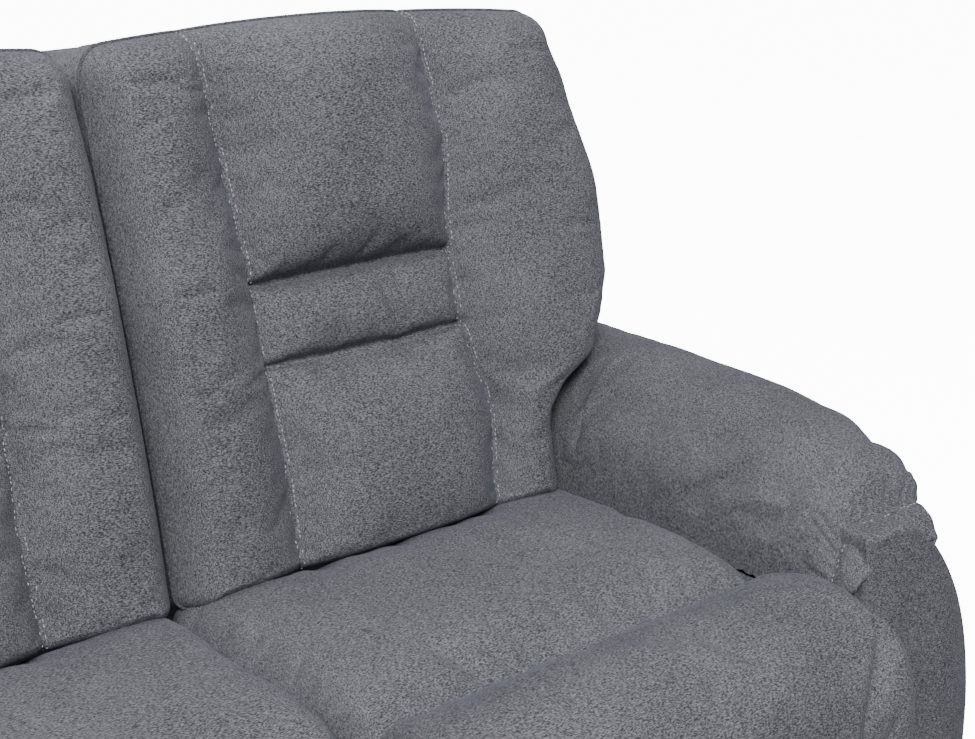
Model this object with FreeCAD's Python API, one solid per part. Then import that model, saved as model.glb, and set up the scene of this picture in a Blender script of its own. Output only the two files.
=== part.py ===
import FreeCAD, Part
import math
import os

Vector = FreeCAD.Vector

# Two-seat reclining sofa. X runs to the right as seen from the front, Y to the rear, Z up.
# The origin lies on the floor at the middle of the footprint. Each right-hand piece is modelled
# once and mirrored to the left. Lengths are in millimetres, angles in degrees.

# Overall layout
DEPTH = 880.0
FRONT_Y = -DEPTH / 2
SEAT_BAY = 506.0
SEAT_CENTRE = SEAT_BAY / 2
SEAT_DEPTH = 490.0
BACK_FRONT_Y = FRONT_Y + SEAT_DEPTH
ARM_FRONT_SETBACK = 88.0
ARM_FRONT_Y = FRONT_Y + ARM_FRONT_SETBACK
ARM_REAR_SETBACK = 40.0
ARM_REAR_Y = FRONT_Y + DEPTH - ARM_REAR_SETBACK
CUSHION_GAP = 2.5
CLOTH_GAP = 0.3
LOFT_STATIONS = 6
SIDE_DRAW = 9.0

# Glides and rails
GLIDE_HEIGHT = 45.0
GLIDE_RADIUS = 24.0
GLIDE_TAPER = 0.8
GLIDE_INSET = 60.0
RAIL_HEIGHT = 32.0
RAIL_THICKNESS = 40.0
RAIL_TOP_Z = GLIDE_HEIGHT + RAIL_HEIGHT
FRONT_RAIL_SETBACK = 95.0
FRONT_RAIL_Y = FRONT_Y + FRONT_RAIL_SETBACK
REAR_RAIL_SETBACK = 155.0
REAR_RAIL_Y = FRONT_Y + DEPTH - REAR_RAIL_SETBACK
BOLT_RADIUS = 4.0
BOLT_HEAD_RADIUS = 7.0
BOLT_HEAD_HEIGHT = 5.0
BOLT_GRIP = 28.0
BOLT_POCKET = 30.0

# Arm
ARM_WIDTH = 206.0
ARM_INNER_X = SEAT_BAY + 2.0
ARM_OUTER_X = ARM_INNER_X + ARM_WIDTH
ARM_TOP_Z = 560.0
ARM_SHOULDER_Z = 330.0
ARM_SHOULDER_SETBACK = 129.0
ARM_SHOULDER_X = ARM_OUTER_X - ARM_SHOULDER_SETBACK
ARM_FULLNESS_X = 14.0
ARM_FULLNESS_Z = 45.0
DRAPE_THICKNESS = 20.0
DRAPE_BOTTOM_Z = 478.0
COVER_THICKNESS = 10.0
BOARD_THICKNESS = 15.0
BOARD_GAP = 0.4
DIVIDER_SETBACK = 372.0
DIVIDER_Y = ARM_FRONT_Y + DIVIDER_SETBACK

# Arm pad. Each section gives its ridge's drop below PAD_RIDGE_Z, its ridge's place outward of the arm's
# inner face, its inner shoulder's rise above ARM_TOP_Z and place, and its bulge on the outer side.
PAD_RIDGE_Z = 654.0
PAD_OUTER_SETBACK = 20.0
PAD_BULGE_DROP = 62.0
PAD_TOP_DROP = 16.0
PAD_TOP_SHIFT = 14.0
PAD_HEM_X = ARM_SHOULDER_X + 80.0
PAD_HEM_DROP = 58.0
PAD_TUCK_X = ARM_SHOULDER_X + 44.0
PAD_TUCK_DROP = 20.0
PAD_TOE_Y = ARM_FRONT_Y + 2.0
PAD_TOE = (84.0, 92.0, 3.0, 34.0, -34.0)
PAD_GATHER_Y = ARM_FRONT_Y + 30.0
PAD_GATHER = (62.0, 94.0, 18.0, 36.0, -16.0)
PAD_FULL_Y = ARM_FRONT_Y + 85.0
PAD_FULL = (30.0, 98.0, 44.0, 36.0, 0.0)
PAD_MIDDLE_Y = ARM_FRONT_Y + 232.0
PAD_MIDDLE = (6.0, 102.0, 62.0, 40.0, 4.0)
PAD_HIGH_Y = BACK_FRONT_Y
PAD_HIGH = (0.0, 108.0, 62.0, 44.0, 2.0)
PAD_UNDER_WING_Y = BACK_FRONT_Y + 140.0
PAD_UNDER_WING = (6.0, 122.0, 12.0, 48.0, 0.0)
PAD_REAR = (24.0, 122.0, 12.0, 48.0, -4.0)

# Seat cushion
SEAT_TOP_Z = 494.0
SEAT_BOTTOM_Z = 342.0
SEAT_CROWN = 9.0
SEAT_SEAM_SETBACK = 196.0
SEAT_SEAM_DIP = 8.0
ROLL_RADIUS = 95.0
ROLL_TOP_Z = 512.0
ROLL_BOTTOM_Z = 300.0
ROLL_LIP = 54.0
SEAT_TUCK = 45.0

# Back
BACK_LEAN = 14.3
BACK_BASE_Z = 497.0
BACK_LENGTH = 531.0
PILLOW_DEPTH = 100.0
SEAM_INNER_X = 123.0
SEAM_OUTER_X = 381.0
SEAM_GAP = 0.5
LUMBAR_BOTTOM = 215.0
LUMBAR_TOP = 291.0
WING_REACH = 60.0
WING_BOTTOM = 165.0
PILLOW_LIFT = 4.0
PILLOW_CORNER = 20.0
PILLOW_DRAW = 22.0
LOWER_CROWN = 22.0
LUMBAR_CROWN = 12.0
LUMBAR_SINK = 8.0
WING_CROWN = 28.0
WING_DRAW = 30.0
HEAD_BULGE = 28.0
HEAD_CROWN = 18.0
HEAD_DRAW = 44.0
COVER_REAR_SETBACK = 110.0
COVER_REAR_BOTTOM_Y = FRONT_Y + DEPTH - COVER_REAR_SETBACK
COVER_TOP_SLOPE = 40.0
COVER_TOP_FALL = 12.0
COVER_REAR_FALL = 60.0
COVER_INSET = 1.5
COVER_BOTTOM_Z = 300.0
STILE_WIDTH = 30.0
STILE_THICKNESS = 30.0
FRAME_RAIL_HEIGHT = 40.0
STILE_START = 24.0
STILE_TOP_SETBACK = 40.0

# Recline hinge, slide and carriage plates
HINGE_SETBACK = 70.0
HINGE_Y = BACK_FRONT_Y + HINGE_SETBACK
HINGE_Z = 420.0
HINGE_BOSS = 18.0
HINGE_PIN_RADIUS = 6.0
HINGE_PIN_HEAD = 2.5
BRACKET_HALF_WIDTH = 14.0
BRACKET_TOP = 120.0
SLIDE_TRAVEL = 60.0
PLATE_INSET = 24.0
LINK_THICKNESS = 4.0
LINK_GAP = 0.8
PLATE_BOTTOM_Z = 264.0
PLATE_NOSE = 17.0
PLATE_TAIL = 30.0
FRAME_CLEARANCE = 3.0
SHOULDER_PIN_Z = 300.0
FRONT_PIN_SETBACK = 290.0
REAR_PIN_SETBACK = 10.0
SHOULDER_PIN_YS = (FRONT_Y + FRONT_PIN_SETBACK, BACK_FRONT_Y + REAR_PIN_SETBACK)
SHOULDER_PIN_RADIUS = 7.0
COLLAR = 3.0
UPRIGHT_ROOT = 20.0
UPRIGHT_FOOT = 40.0
UPRIGHT_HEAD = 15.0
SLOT_CLEARANCE = 0.2
RUNNING_CLEARANCE = 0.1
WEB_INSET = 14.0
WEB_HEIGHT = 45.0
FLANGE_WIDTH = 11.0
FRAME_HEIGHT = 22.0
FRAME_SIDE_WIDTH = 40.0
FRAME_FRONT_WIDTH = 28.0
FRAME_FRONT_DROP = 10.0
FRAME_REAR_WIDTH = 32.0
SPRING_WIRE_RADIUS = 1.75
SPRING_COUNT = 5
SPRING_BENDS = 12
SPRING_HALF_WIDTH = 22.0
SPRING_FRONT_INSET = 12.0
SPRING_REAR_INSET = 18.0
SPRING_SIDE_GAP = 20.0

# Footrest linkage in the closed pose, as (y, z) of each pivot
PIVOT_A = (FRONT_Y + 180.0, 297.0)
PIVOT_B = (FRONT_Y + 338.0, 242.0)
PIVOT_C = (FRONT_Y + 74.0, 227.0)
PIVOT_D = (FRONT_Y + 141.8, 280.7)
PIVOT_E = (FRONT_Y + 300.0, 212.2)
PIVOT_F = (FRONT_Y + 359.6, 225.0)
PIVOT_G = (FRONT_Y + 79.4, 172.3)
PANEL_LINK_END = (FRONT_Y + 76.8, 175.1)
LINK_HALF_WIDTH = 11.0
LINK_PIN_RADIUS = 4.0
OPEN_PIVOT_CLEARANCE = 4.4
TUBE_RADIUS = 11.0
TUBE_WALL = 2.0
FOOT_BOTTOM_Z = 62.0
FOOT_TOP_Z = 292.0
FOOT_PAD_THICKNESS = 40.0
FOOT_BOARD_THICKNESS = 14.0
FOOT_BOARD_MARGIN = 10.0
BRACKET_FLANGE = 30.0
BRACKET_THICKNESS = 3.0

# Release lever, trip arm and cable
LEVER_SETBACK = 212.0
LEVER_Y = ARM_FRONT_Y + LEVER_SETBACK
LEVER_Z = 262.0
LEVER_LENGTH = 120.0
LEVER_DROOP = 12.0
LEVER_STANDOFF = 20.0
LEVER_BLADE = 6.0
LEVER_HALF_WIDTH = 12.0
LEVER_HUB_RADIUS = 15.0
LEVER_SHAFT_RADIUS = 6.0
LEVER_PLATE_RADIUS = 28.0
LEVER_PLATE_THICKNESS = 4.0
CRANK_LENGTH = 30.0
CRANK_HALF_WIDTH = 8.0
CRANK_INSET = 42.0
CRANK_X = ARM_OUTER_X - CRANK_INSET
TRIP_SETBACK = 420.0
TRIP_Y = FRONT_Y + TRIP_SETBACK
TRIP_Z = 235.0
TRIP_NOSE = 26.0
TRIP_TAIL = 30.0
TRIP_HALF_WIDTH = 7.0
TRIP_FOOT_FRONT = 20.0
TRIP_FOOT_REAR = 50.0
TRIP_HEAD_FRONT = 10.0
TRIP_HEAD_REAR = 12.0
TRIP_HEAD_RISE = 8.0
CLAMP_LENGTH = 10.0
CLAMP_WALL = 5.0
CABLE_RADIUS = 3.0
CABLE_BEND = 50.0
CABLE_RUN = 140.0
CABLE_BACK_Y = TRIP_Y + CABLE_RUN
CABLE_CLEARANCE = 0.4


def box(x0, x1, y0, y1, z0, z1):
    return Part.makeBox(x1 - x0, y1 - y0, z1 - z0, Vector(x0, y0, z0))


def rod(x0, x1, centre, radius):
    return Part.makeCylinder(radius, x1 - x0, Vector(x0, centre[0], centre[1]), Vector(1, 0, 0))


def outline(steps):
    """Closed wire. A step is a point to draw a line to, or (middle, end) to draw an arc through."""
    edges = []
    here = steps[0]
    for step in steps[1:] + [steps[0]]:
        if isinstance(step, tuple):
            edges.append(Part.Arc(here, step[0], step[1]).toShape())
            here = step[1]
        else:
            edges.append(Part.LineSegment(here, step).toShape())
            here = step
    return Part.Wire(edges)


def plate(points, x0, x1):
    """Flat plate with a straight-sided outline of (y, z) points."""
    wire = Part.makePolygon([Vector(x0, y, z) for y, z in points + points[:1]])
    return Part.Face(wire).extrude(Vector(x1 - x0, 0, 0))


def bar(start, end, half_width, x0, x1):
    """Flat bar with round ends between two (y, z) points."""
    dy = end[0] - start[0]
    dz = end[1] - start[1]
    length = math.hypot(dy, dz)
    ny = -dz / length * half_width
    nz = dy / length * half_width
    sides = plate([(start[0] + ny, start[1] + nz), (end[0] + ny, end[1] + nz),
                   (end[0] - ny, end[1] - nz), (start[0] - ny, start[1] - nz)], x0, x1)
    return joined([sides, rod(x0, x1, start, half_width), rod(x0, x1, end, half_width)])


def joined(shapes):
    solid = shapes[0].fuse(shapes[1:]) if len(shapes) > 1 else shapes[0]
    return solid.removeSplitter()


def loft(wires):
    return Part.makeLoft(wires, True, False)


def stations(count):
    """Places between -1 and 1, closer together towards both ends."""
    return [-math.cos(math.pi * index / count) for index in range(count + 1)]


def soft_loft(section, low, high, edge_inset, crown):
    """Loft of section(place, inset, crown) with the sides drawn in and the middle crowned."""
    wires = []
    for place in stations(LOFT_STATIONS):
        where = (low + high) / 2 + place * (high - low) / 2
        wires.append(section(where, edge_inset * place ** 4, crown * (1 - 0.8 * place ** 2)))
    return loft(wires)


def mirrored(shape, x):
    return shape.mirror(Vector(x, 0, 0), Vector(1, 0, 0))


def both_sides(shape):
    """The same piece on the inboard and on the outboard side of the right-hand seat."""
    return [shape, mirrored(shape, SEAT_CENTRE)]


def layer(index):
    """X range of a link layer on the inboard side: 0 is the carriage plate, 4 the innermost link."""
    start = PLATE_INSET + index * (LINK_THICKNESS + LINK_GAP)
    return start, start + LINK_THICKNESS


def save(name, shapes):
    if len(shapes) == 1:
        shape = shapes[0]
    else:
        shape = Part.makeCompound(shapes)
    shape.exportStep(os.path.join("parts", name + ".step"))


def save_pair(name, shapes):
    """Write the right-hand piece and its mirror image on the left."""
    save(name + "_r", shapes)
    save(name + "_l", [mirrored(shape, 0.0) for shape in shapes])


# Rails, bolts and glides

def rail_centre(start_y):
    return start_y + RAIL_THICKNESS / 2, GLIDE_HEIGHT + RAIL_HEIGHT / 2


def rail(start_y):
    timber = box(-ARM_INNER_X, ARM_INNER_X, start_y, start_y + RAIL_THICKNESS, GLIDE_HEIGHT, RAIL_TOP_Z)
    for side in (-1, 1):
        hole = rod(ARM_INNER_X - BOLT_GRIP, ARM_INNER_X, rail_centre(start_y), BOLT_RADIUS)
        timber = timber.cut(hole if side > 0 else mirrored(hole, 0.0))
    return timber


def arm_board_inner_x():
    return ARM_INNER_X + DRAPE_THICKNESS + COVER_THICKNESS + BOARD_GAP


def bolt(start_y):
    head_x = arm_board_inner_x() + BOARD_THICKNESS
    shank = rod(ARM_INNER_X - BOLT_GRIP, head_x, rail_centre(start_y), BOLT_RADIUS)
    head = rod(head_x, head_x + BOLT_HEAD_HEIGHT, rail_centre(start_y), BOLT_HEAD_RADIUS)
    return joined([shank, head])


def rail_bolts():
    right = [bolt(FRONT_RAIL_Y), bolt(REAR_RAIL_Y)]
    return right + [mirrored(piece, 0.0) for piece in right]


def glides():
    arm_middle = (ARM_INNER_X + ARM_OUTER_X) / 2
    spots = [(arm_middle, ARM_FRONT_Y + GLIDE_INSET), (arm_middle, ARM_REAR_Y - GLIDE_INSET)]
    spots += [(-x, y) for x, y in spots]
    spots += [(0.0, FRONT_RAIL_Y + RAIL_THICKNESS / 2), (0.0, REAR_RAIL_Y + RAIL_THICKNESS / 2)]
    tip = GLIDE_RADIUS * GLIDE_TAPER
    return [Part.makeCone(tip, GLIDE_RADIUS, GLIDE_HEIGHT, Vector(x, y, 0)) for x, y in spots]


# Arm

def arm_core():
    """Cross-section of the arm without the ledge that the pad drapes down to, as a face at y = 0."""
    inner = ARM_INNER_X + DRAPE_THICKNESS
    middle = Vector((ARM_SHOULDER_X + ARM_OUTER_X) / 2 + ARM_FULLNESS_X, 0,
                    (ARM_TOP_Z + ARM_SHOULDER_Z) / 2 + ARM_FULLNESS_Z)
    return Part.Face(outline([
        Vector(inner, 0, GLIDE_HEIGHT), Vector(inner, 0, ARM_TOP_Z), Vector(ARM_SHOULDER_X, 0, ARM_TOP_Z),
        (middle, Vector(ARM_OUTER_X, 0, ARM_SHOULDER_Z)), Vector(ARM_OUTER_X, 0, GLIDE_HEIGHT)]))


def arm_prism(inset, y0, y1):
    face = arm_core() if inset == 0 else arm_core().makeOffset2D(-inset)
    face.translate(Vector(0, y0, 0))
    return face.extrude(Vector(0, y1 - y0, 0))


def arm_holes():
    """What passes through the arm: the lever's shaft, the cable and the rail bolts."""
    shaft_hole = LEVER_SHAFT_RADIUS + SLOT_CLEARANCE
    holes = [rod(CRANK_X, ARM_OUTER_X, (LEVER_Y, LEVER_Z), shaft_hole)]
    holes.append(cable(CABLE_RADIUS + CABLE_CLEARANCE))
    for start_y in (FRONT_RAIL_Y, REAR_RAIL_Y):
        head_x = arm_board_inner_x() + BOARD_THICKNESS
        holes.append(rod(ARM_INNER_X, head_x, rail_centre(start_y), BOLT_RADIUS))
        pocket_radius = BOLT_HEAD_RADIUS + SLOT_CLEARANCE
        holes.append(rod(head_x, head_x + BOLT_POCKET, rail_centre(start_y), pocket_radius))
    return holes


def arm_cover():
    skin = arm_prism(0, ARM_FRONT_Y, ARM_REAR_Y)
    drape_x = ARM_INNER_X + DRAPE_THICKNESS
    ledge = box(ARM_INNER_X, drape_x, ARM_FRONT_Y, ARM_REAR_Y, GLIDE_HEIGHT, DRAPE_BOTTOM_Z)
    hollow = arm_prism(COVER_THICKNESS, ARM_FRONT_Y + COVER_THICKNESS, ARM_REAR_Y - COVER_THICKNESS)
    return joined([skin, ledge]).cut([hollow] + arm_holes())


def arm_frame():
    y0 = ARM_FRONT_Y + COVER_THICKNESS + BOARD_GAP
    y1 = ARM_REAR_Y - COVER_THICKNESS - BOARD_GAP
    outer = COVER_THICKNESS + BOARD_GAP
    solid = arm_prism(outer, y0, y1)
    bays = [(y0 + BOARD_THICKNESS, DIVIDER_Y), (DIVIDER_Y + BOARD_THICKNESS, y1 - BOARD_THICKNESS)]
    hollows = [arm_prism(outer + BOARD_THICKNESS, start, end) for start, end in bays]
    return solid.cut(hollows + arm_holes())


def pad_section(y, ridge_drop, ridge_offset, inner_rise, inner_offset, bulge):
    """Cross-section of the arm pad: draped down the inner side, crowned on top, rolled under outside."""
    inner = ARM_INNER_X + CLOTH_GAP
    back = ARM_INNER_X + DRAPE_THICKNESS - CLOTH_GAP
    bottom = DRAPE_BOTTOM_Z + CLOTH_GAP
    under = ARM_TOP_Z + CLOTH_GAP
    ridge = Vector(ARM_INNER_X + ridge_offset, y, PAD_RIDGE_Z - ridge_drop)
    shoulder = Vector(ARM_INNER_X + inner_offset, y, ARM_TOP_Z + inner_rise)
    outer = Vector(ARM_OUTER_X - PAD_OUTER_SETBACK + bulge, y, ridge.z - PAD_BULGE_DROP)
    hem = Vector(PAD_HEM_X, y, ARM_TOP_Z - PAD_HEM_DROP)
    drape = Vector(inner + (shoulder.x - inner) * 0.22, y, bottom + (shoulder.z - bottom) * 0.6)
    rise = Vector((shoulder.x + ridge.x) / 2 - 5.0, y, shoulder.z + (ridge.z - shoulder.z) * 0.72)
    top = Vector((ridge.x + outer.x) / 2 + PAD_TOP_SHIFT, y, ridge.z - PAD_TOP_DROP - bulge / 2)
    side = Vector(outer.x - 3.0, y, (outer.z + hem.z) / 2 - 8.0)
    tuck = Vector(PAD_TUCK_X, y, ARM_TOP_Z - PAD_TUCK_DROP)
    return outline([
        Vector(inner, y, bottom), (drape, shoulder), (rise, ridge), (top, outer), (side, hem),
        (tuck, Vector(ARM_SHOULDER_X, y, under)), Vector(back, y, under), Vector(back, y, bottom)])


def arm_pad():
    return loft([
        pad_section(PAD_TOE_Y, *PAD_TOE), pad_section(PAD_GATHER_Y, *PAD_GATHER),
        pad_section(PAD_FULL_Y, *PAD_FULL), pad_section(PAD_MIDDLE_Y, *PAD_MIDDLE),
        pad_section(PAD_HIGH_Y, *PAD_HIGH), pad_section(PAD_UNDER_WING_Y, *PAD_UNDER_WING),
        pad_section(ARM_REAR_Y, *PAD_REAR)])


# Fixed mechanism rails and the pins that the carriage slides on

def mechanism_rail():
    """Web with uprights for the two shoulder pins, and a flange that lies on the timber rails."""
    x0 = WEB_INSET
    x1 = WEB_INSET + LINK_THICKNESS
    y0 = FRONT_RAIL_Y
    y1 = REAR_RAIL_Y + RAIL_THICKNESS
    pieces = [box(x0, x1, y0, y1, RAIL_TOP_Z, RAIL_TOP_Z + WEB_HEIGHT)]
    pieces.append(box(x0 - FLANGE_WIDTH, x1, y0, y1, RAIL_TOP_Z, RAIL_TOP_Z + LINK_THICKNESS))
    for pin_y in SHOULDER_PIN_YS:
        pieces.append(plate([
            (pin_y - UPRIGHT_FOOT, RAIL_TOP_Z + UPRIGHT_ROOT),
            (pin_y + UPRIGHT_FOOT, RAIL_TOP_Z + UPRIGHT_ROOT),
            (pin_y + UPRIGHT_HEAD, SHOULDER_PIN_Z), (pin_y - UPRIGHT_HEAD, SHOULDER_PIN_Z)], x0, x1))
        pieces.append(rod(x0, x1, (pin_y, SHOULDER_PIN_Z), UPRIGHT_HEAD))
    web = joined(pieces)
    return web.cut([rod(x0, x1, (pin_y, SHOULDER_PIN_Z), SHOULDER_PIN_RADIUS) for pin_y in SHOULDER_PIN_YS])


def trip_bracket():
    """Outboard upright that carries the trip arm, with a clamp for the end of the cable."""
    x1 = 2 * SEAT_CENTRE - WEB_INSET
    x0 = x1 - LINK_THICKNESS
    tail_z = TRIP_Z - TRIP_TAIL
    trip_x = trip_layer()[0]
    root = RAIL_TOP_Z + UPRIGHT_ROOT
    top = TRIP_Z + TRIP_HEAD_RISE
    pieces = [plate([(TRIP_Y - TRIP_FOOT_FRONT, root), (TRIP_Y + TRIP_FOOT_REAR, root),
                     (TRIP_Y + TRIP_HEAD_REAR, top), (TRIP_Y - TRIP_HEAD_FRONT, top)], x0, x1)]
    pieces.append(rod(trip_x, x0, (TRIP_Y, TRIP_Z), LINK_PIN_RADIUS))
    pieces.append(rod(trip_layer()[1] + LINK_GAP, x0, (TRIP_Y, TRIP_Z), LINK_PIN_RADIUS + 3.0))
    clamp_y = TRIP_Y + TRIP_HALF_WIDTH + 12.0
    reach = CABLE_RADIUS + CLAMP_WALL
    clamp_end = clamp_y + CLAMP_LENGTH
    pieces.append(box(cable_end_x() - reach, x0, clamp_y, clamp_end, tail_z - reach, tail_z + reach))
    return pieces


def mechanism_rails():
    inboard, outboard = both_sides(mechanism_rail())
    outboard = joined([outboard] + trip_bracket()).cut(cable(CABLE_RADIUS))
    right = [inboard, outboard]
    return right + [mirrored(piece, 0.0) for piece in right]


def shoulder_pin(pin_y):
    centre = (pin_y, SHOULDER_PIN_Z)
    web_face = WEB_INSET + LINK_THICKNESS
    plate_start, plate_end = layer(0)
    return joined([
        rod(WEB_INSET, plate_end + LINK_GAP, centre, SHOULDER_PIN_RADIUS),
        rod(web_face, plate_start - SLOT_CLEARANCE, centre, SHOULDER_PIN_RADIUS + COLLAR),
        rod(plate_end + SLOT_CLEARANCE, plate_end + COLLAR, centre, SHOULDER_PIN_RADIUS + COLLAR + 1.0)])


def shoulder_pins():
    right = []
    for pin_y in SHOULDER_PIN_YS:
        right += both_sides(shoulder_pin(pin_y))
    return right + [mirrored(piece, 0.0) for piece in right]


# Carriage: side plates, seat frame, springs and cushion

def frame_top_z():
    return SEAT_BOTTOM_Z - CLOTH_GAP - 2 * SPRING_WIRE_RADIUS


def seat_rear_y():
    return BACK_FRONT_Y + SEAT_TUCK


def side_plate():
    """Slotted carriage plate with the upstand that carries the back's hinge."""
    x0, x1 = layer(0)
    top = frame_top_z()
    front = PIVOT_D[0] - PLATE_NOSE
    rear = HINGE_Y + PLATE_TAIL
    upstand = seat_rear_y() + FRAME_CLEARANCE
    pieces = [plate([(front, PLATE_BOTTOM_Z), (rear, PLATE_BOTTOM_Z), (rear, HINGE_Z), (upstand, HINGE_Z),
                     (upstand, top), (front, top)], x0, x1)]
    pieces.append(rod(x0, x1, (HINGE_Y, HINGE_Z), HINGE_BOSS))
    pieces.append(rod(x0, layer(3)[1], PIVOT_A, LINK_PIN_RADIUS))
    pieces.append(rod(x0, layer(3)[0] - LINK_GAP / 2, PIVOT_A, LINK_PIN_RADIUS + COLLAR))
    pieces.append(rod(x0, layer(1)[1], PIVOT_D, LINK_PIN_RADIUS))
    solid = joined(pieces)
    cuts = [rod(x0, x1, (HINGE_Y, HINGE_Z), HINGE_PIN_RADIUS + RUNNING_CLEARANCE)]
    for pin_y in SHOULDER_PIN_YS:
        start = (pin_y, SHOULDER_PIN_Z)
        end = (pin_y + SLIDE_TRAVEL, SHOULDER_PIN_Z)
        cuts.append(bar(start, end, SHOULDER_PIN_RADIUS + SLOT_CLEARANCE, x0, x1))
    return solid.cut(cuts)


def seat_frame():
    """Two long side members on the carriage plates, with a front and a rear member between them."""
    x0 = layer(0)[1]
    x1 = x0 + FRAME_SIDE_WIDTH
    top = frame_top_z()
    front = FRONT_Y + ROLL_LIP + FRAME_CLEARANCE
    rear = seat_rear_y() - FRAME_CLEARANCE
    low = top - FRAME_HEIGHT
    side = box(x0, x1, front, rear, low, top)
    far = 2 * SEAT_CENTRE - x1
    cross = [box(x1, far, front, front + FRAME_FRONT_WIDTH, low - FRAME_FRONT_DROP, top)]
    cross.append(box(x1, far, rear - FRAME_REAR_WIDTH, rear, low, top))
    return both_sides(side) + cross


def seat_spring(x, reach):
    """Sinuous spring lying on the front and rear members of the seat frame."""
    z = frame_top_z() + SPRING_WIRE_RADIUS
    y0 = FRONT_Y + ROLL_LIP + SPRING_FRONT_INSET
    y1 = seat_rear_y() - SPRING_REAR_INSET
    pitch = (y1 - y0) / SPRING_BENDS
    bend = pitch / 2
    edges = []
    side = reach
    start = Vector(x - side, y0, z)
    for index in range(SPRING_BENDS):
        y = y0 + index * pitch
        run_end = Vector(x + side, y, z)
        edges.append(Part.LineSegment(start, run_end).toShape())
        outward = bend if side > 0 else -bend
        turn_end = Vector(x + side, y + pitch, z)
        edges.append(Part.Arc(run_end, Vector(x + side + outward, y + bend, z), turn_end).toShape())
        start = turn_end
        side = -side
    edges.append(Part.LineSegment(start, Vector(x + side, y1, z)).toShape())
    path = Part.Wire(edges)
    section = Part.Wire(Part.makeCircle(SPRING_WIRE_RADIUS, Vector(x - reach, y0, z), Vector(1, 0, 0)))
    return path.makePipeShell([section], True, False)


def seat_springs():
    clear = layer(0)[1] + FRAME_SIDE_WIDTH + SPRING_HALF_WIDTH + SPRING_SIDE_GAP
    span = 2 * (SEAT_CENTRE - clear)
    pitch = span / (SPRING_COUNT - 1)
    return [seat_spring(clear + index * pitch, SPRING_HALF_WIDTH / 2) for index in range(SPRING_COUNT)]


def seat_section(x, inset, crown):
    """Side profile of the seat cushion: crowned top, sewn cross seam, puffed front roll."""
    rear = seat_rear_y() - inset
    bottom = SEAT_BOTTOM_Z + inset
    seam_y = FRONT_Y + SEAT_SEAM_SETBACK
    centre_y = FRONT_Y + ROLL_RADIUS
    centre_z = ROLL_TOP_Z - ROLL_RADIUS
    radius = ROLL_RADIUS - inset
    diagonal = radius * math.sqrt(0.5)
    lip = FRONT_Y + ROLL_LIP - inset
    low = ROLL_BOTTOM_Z + inset
    seam_z = SEAT_TOP_Z - SEAT_SEAM_DIP - inset
    return outline([
        Vector(x, rear, bottom), Vector(x, rear, SEAT_TOP_Z - 54.0),
        (Vector(x, rear - 12.0, SEAT_TOP_Z - 19.0 - inset), Vector(x, BACK_FRONT_Y, SEAT_TOP_Z - inset)),
        (Vector(x, (BACK_FRONT_Y + seam_y) / 2, SEAT_TOP_Z - inset + crown), Vector(x, seam_y, seam_z)),
        (Vector(x, (seam_y + centre_y) / 2, ROLL_TOP_Z + 3.0 - inset + crown / 2),
         Vector(x, centre_y, ROLL_TOP_Z - inset)),
        (Vector(x, centre_y - diagonal, centre_z + diagonal), Vector(x, centre_y - radius, centre_z)),
        Vector(x, FRONT_Y + inset, low + 26.0),
        (Vector(x, FRONT_Y + inset + 8.0, low + 8.0), Vector(x, FRONT_Y + inset + 26.0, low)),
        Vector(x, lip, low), Vector(x, lip, bottom)])


def seat_cushion():
    x0 = CUSHION_GAP
    x1 = SEAT_BAY - CUSHION_GAP
    return soft_loft(seat_section, x0, x1, SIDE_DRAW, SEAT_CROWN)


# Back: points are given as x, distance up the lean and depth behind the seam plane

def back_point(x, up, depth):
    lean = math.radians(BACK_LEAN)
    y = BACK_FRONT_Y + up * math.sin(lean) + depth * math.cos(lean)
    z = BACK_BASE_Z + up * math.cos(lean) - depth * math.sin(lean)
    return Vector(x, y, z)


def pillow_section(x0, x1, up, front, crown):
    """Outline across a back pad at one height: flat rear, rounded corners, crowned front."""
    corner = PILLOW_CORNER
    cut = corner * 0.3
    return outline([
        back_point(x0, up, PILLOW_DEPTH), back_point(x0, up, front + corner),
        (back_point(x0 + cut, up, front + cut), back_point(x0 + corner, up, front)),
        (back_point((x0 + x1) / 2, up, front - crown), back_point(x1 - corner, up, front)),
        (back_point(x1 - cut, up, front + cut), back_point(x1, up, front + corner)),
        back_point(x1, up, PILLOW_DEPTH)])


def pillow(x0, x1, low, high, crown, sink, top_draw=PILLOW_DRAW):
    """Crowned pad between two seams, drawn in at its lower and upper ends."""
    wires = []
    for place in stations(LOFT_STATIONS):
        draw = PILLOW_DRAW if place < 0 else top_draw
        up = (low + high) / 2 + place * (high - low) / 2
        wires.append(pillow_section(x0, x1, up, sink + draw * place ** 4, crown * (1 - 0.6 * place ** 2)))
    return loft(wires)


def lower_back():
    return pillow(SEAM_INNER_X + SEAM_GAP, SEAM_OUTER_X - SEAM_GAP, PILLOW_LIFT, LUMBAR_BOTTOM - SEAM_GAP,
                  LOWER_CROWN, 0.0)


def lumbar_roll():
    low = LUMBAR_BOTTOM + SEAM_GAP
    high = LUMBAR_TOP - SEAM_GAP
    return pillow(SEAM_INNER_X + SEAM_GAP, SEAM_OUTER_X - SEAM_GAP, low, high, LUMBAR_CROWN, LUMBAR_SINK)


def headrest():
    """Head panel with its top edge rounded and crowned above the wings."""
    low = LUMBAR_TOP + SEAM_GAP
    high = BACK_LENGTH + HEAD_CROWN
    return pillow(SEAM_INNER_X + SEAM_GAP, SEAM_OUTER_X - SEAM_GAP, low, high, HEAD_BULGE, 0.0, HEAD_DRAW)


def wing_inner():
    return pillow(CUSHION_GAP, SEAM_INNER_X - SEAM_GAP, PILLOW_LIFT, BACK_LENGTH, WING_CROWN, 0.0, WING_DRAW)


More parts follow.
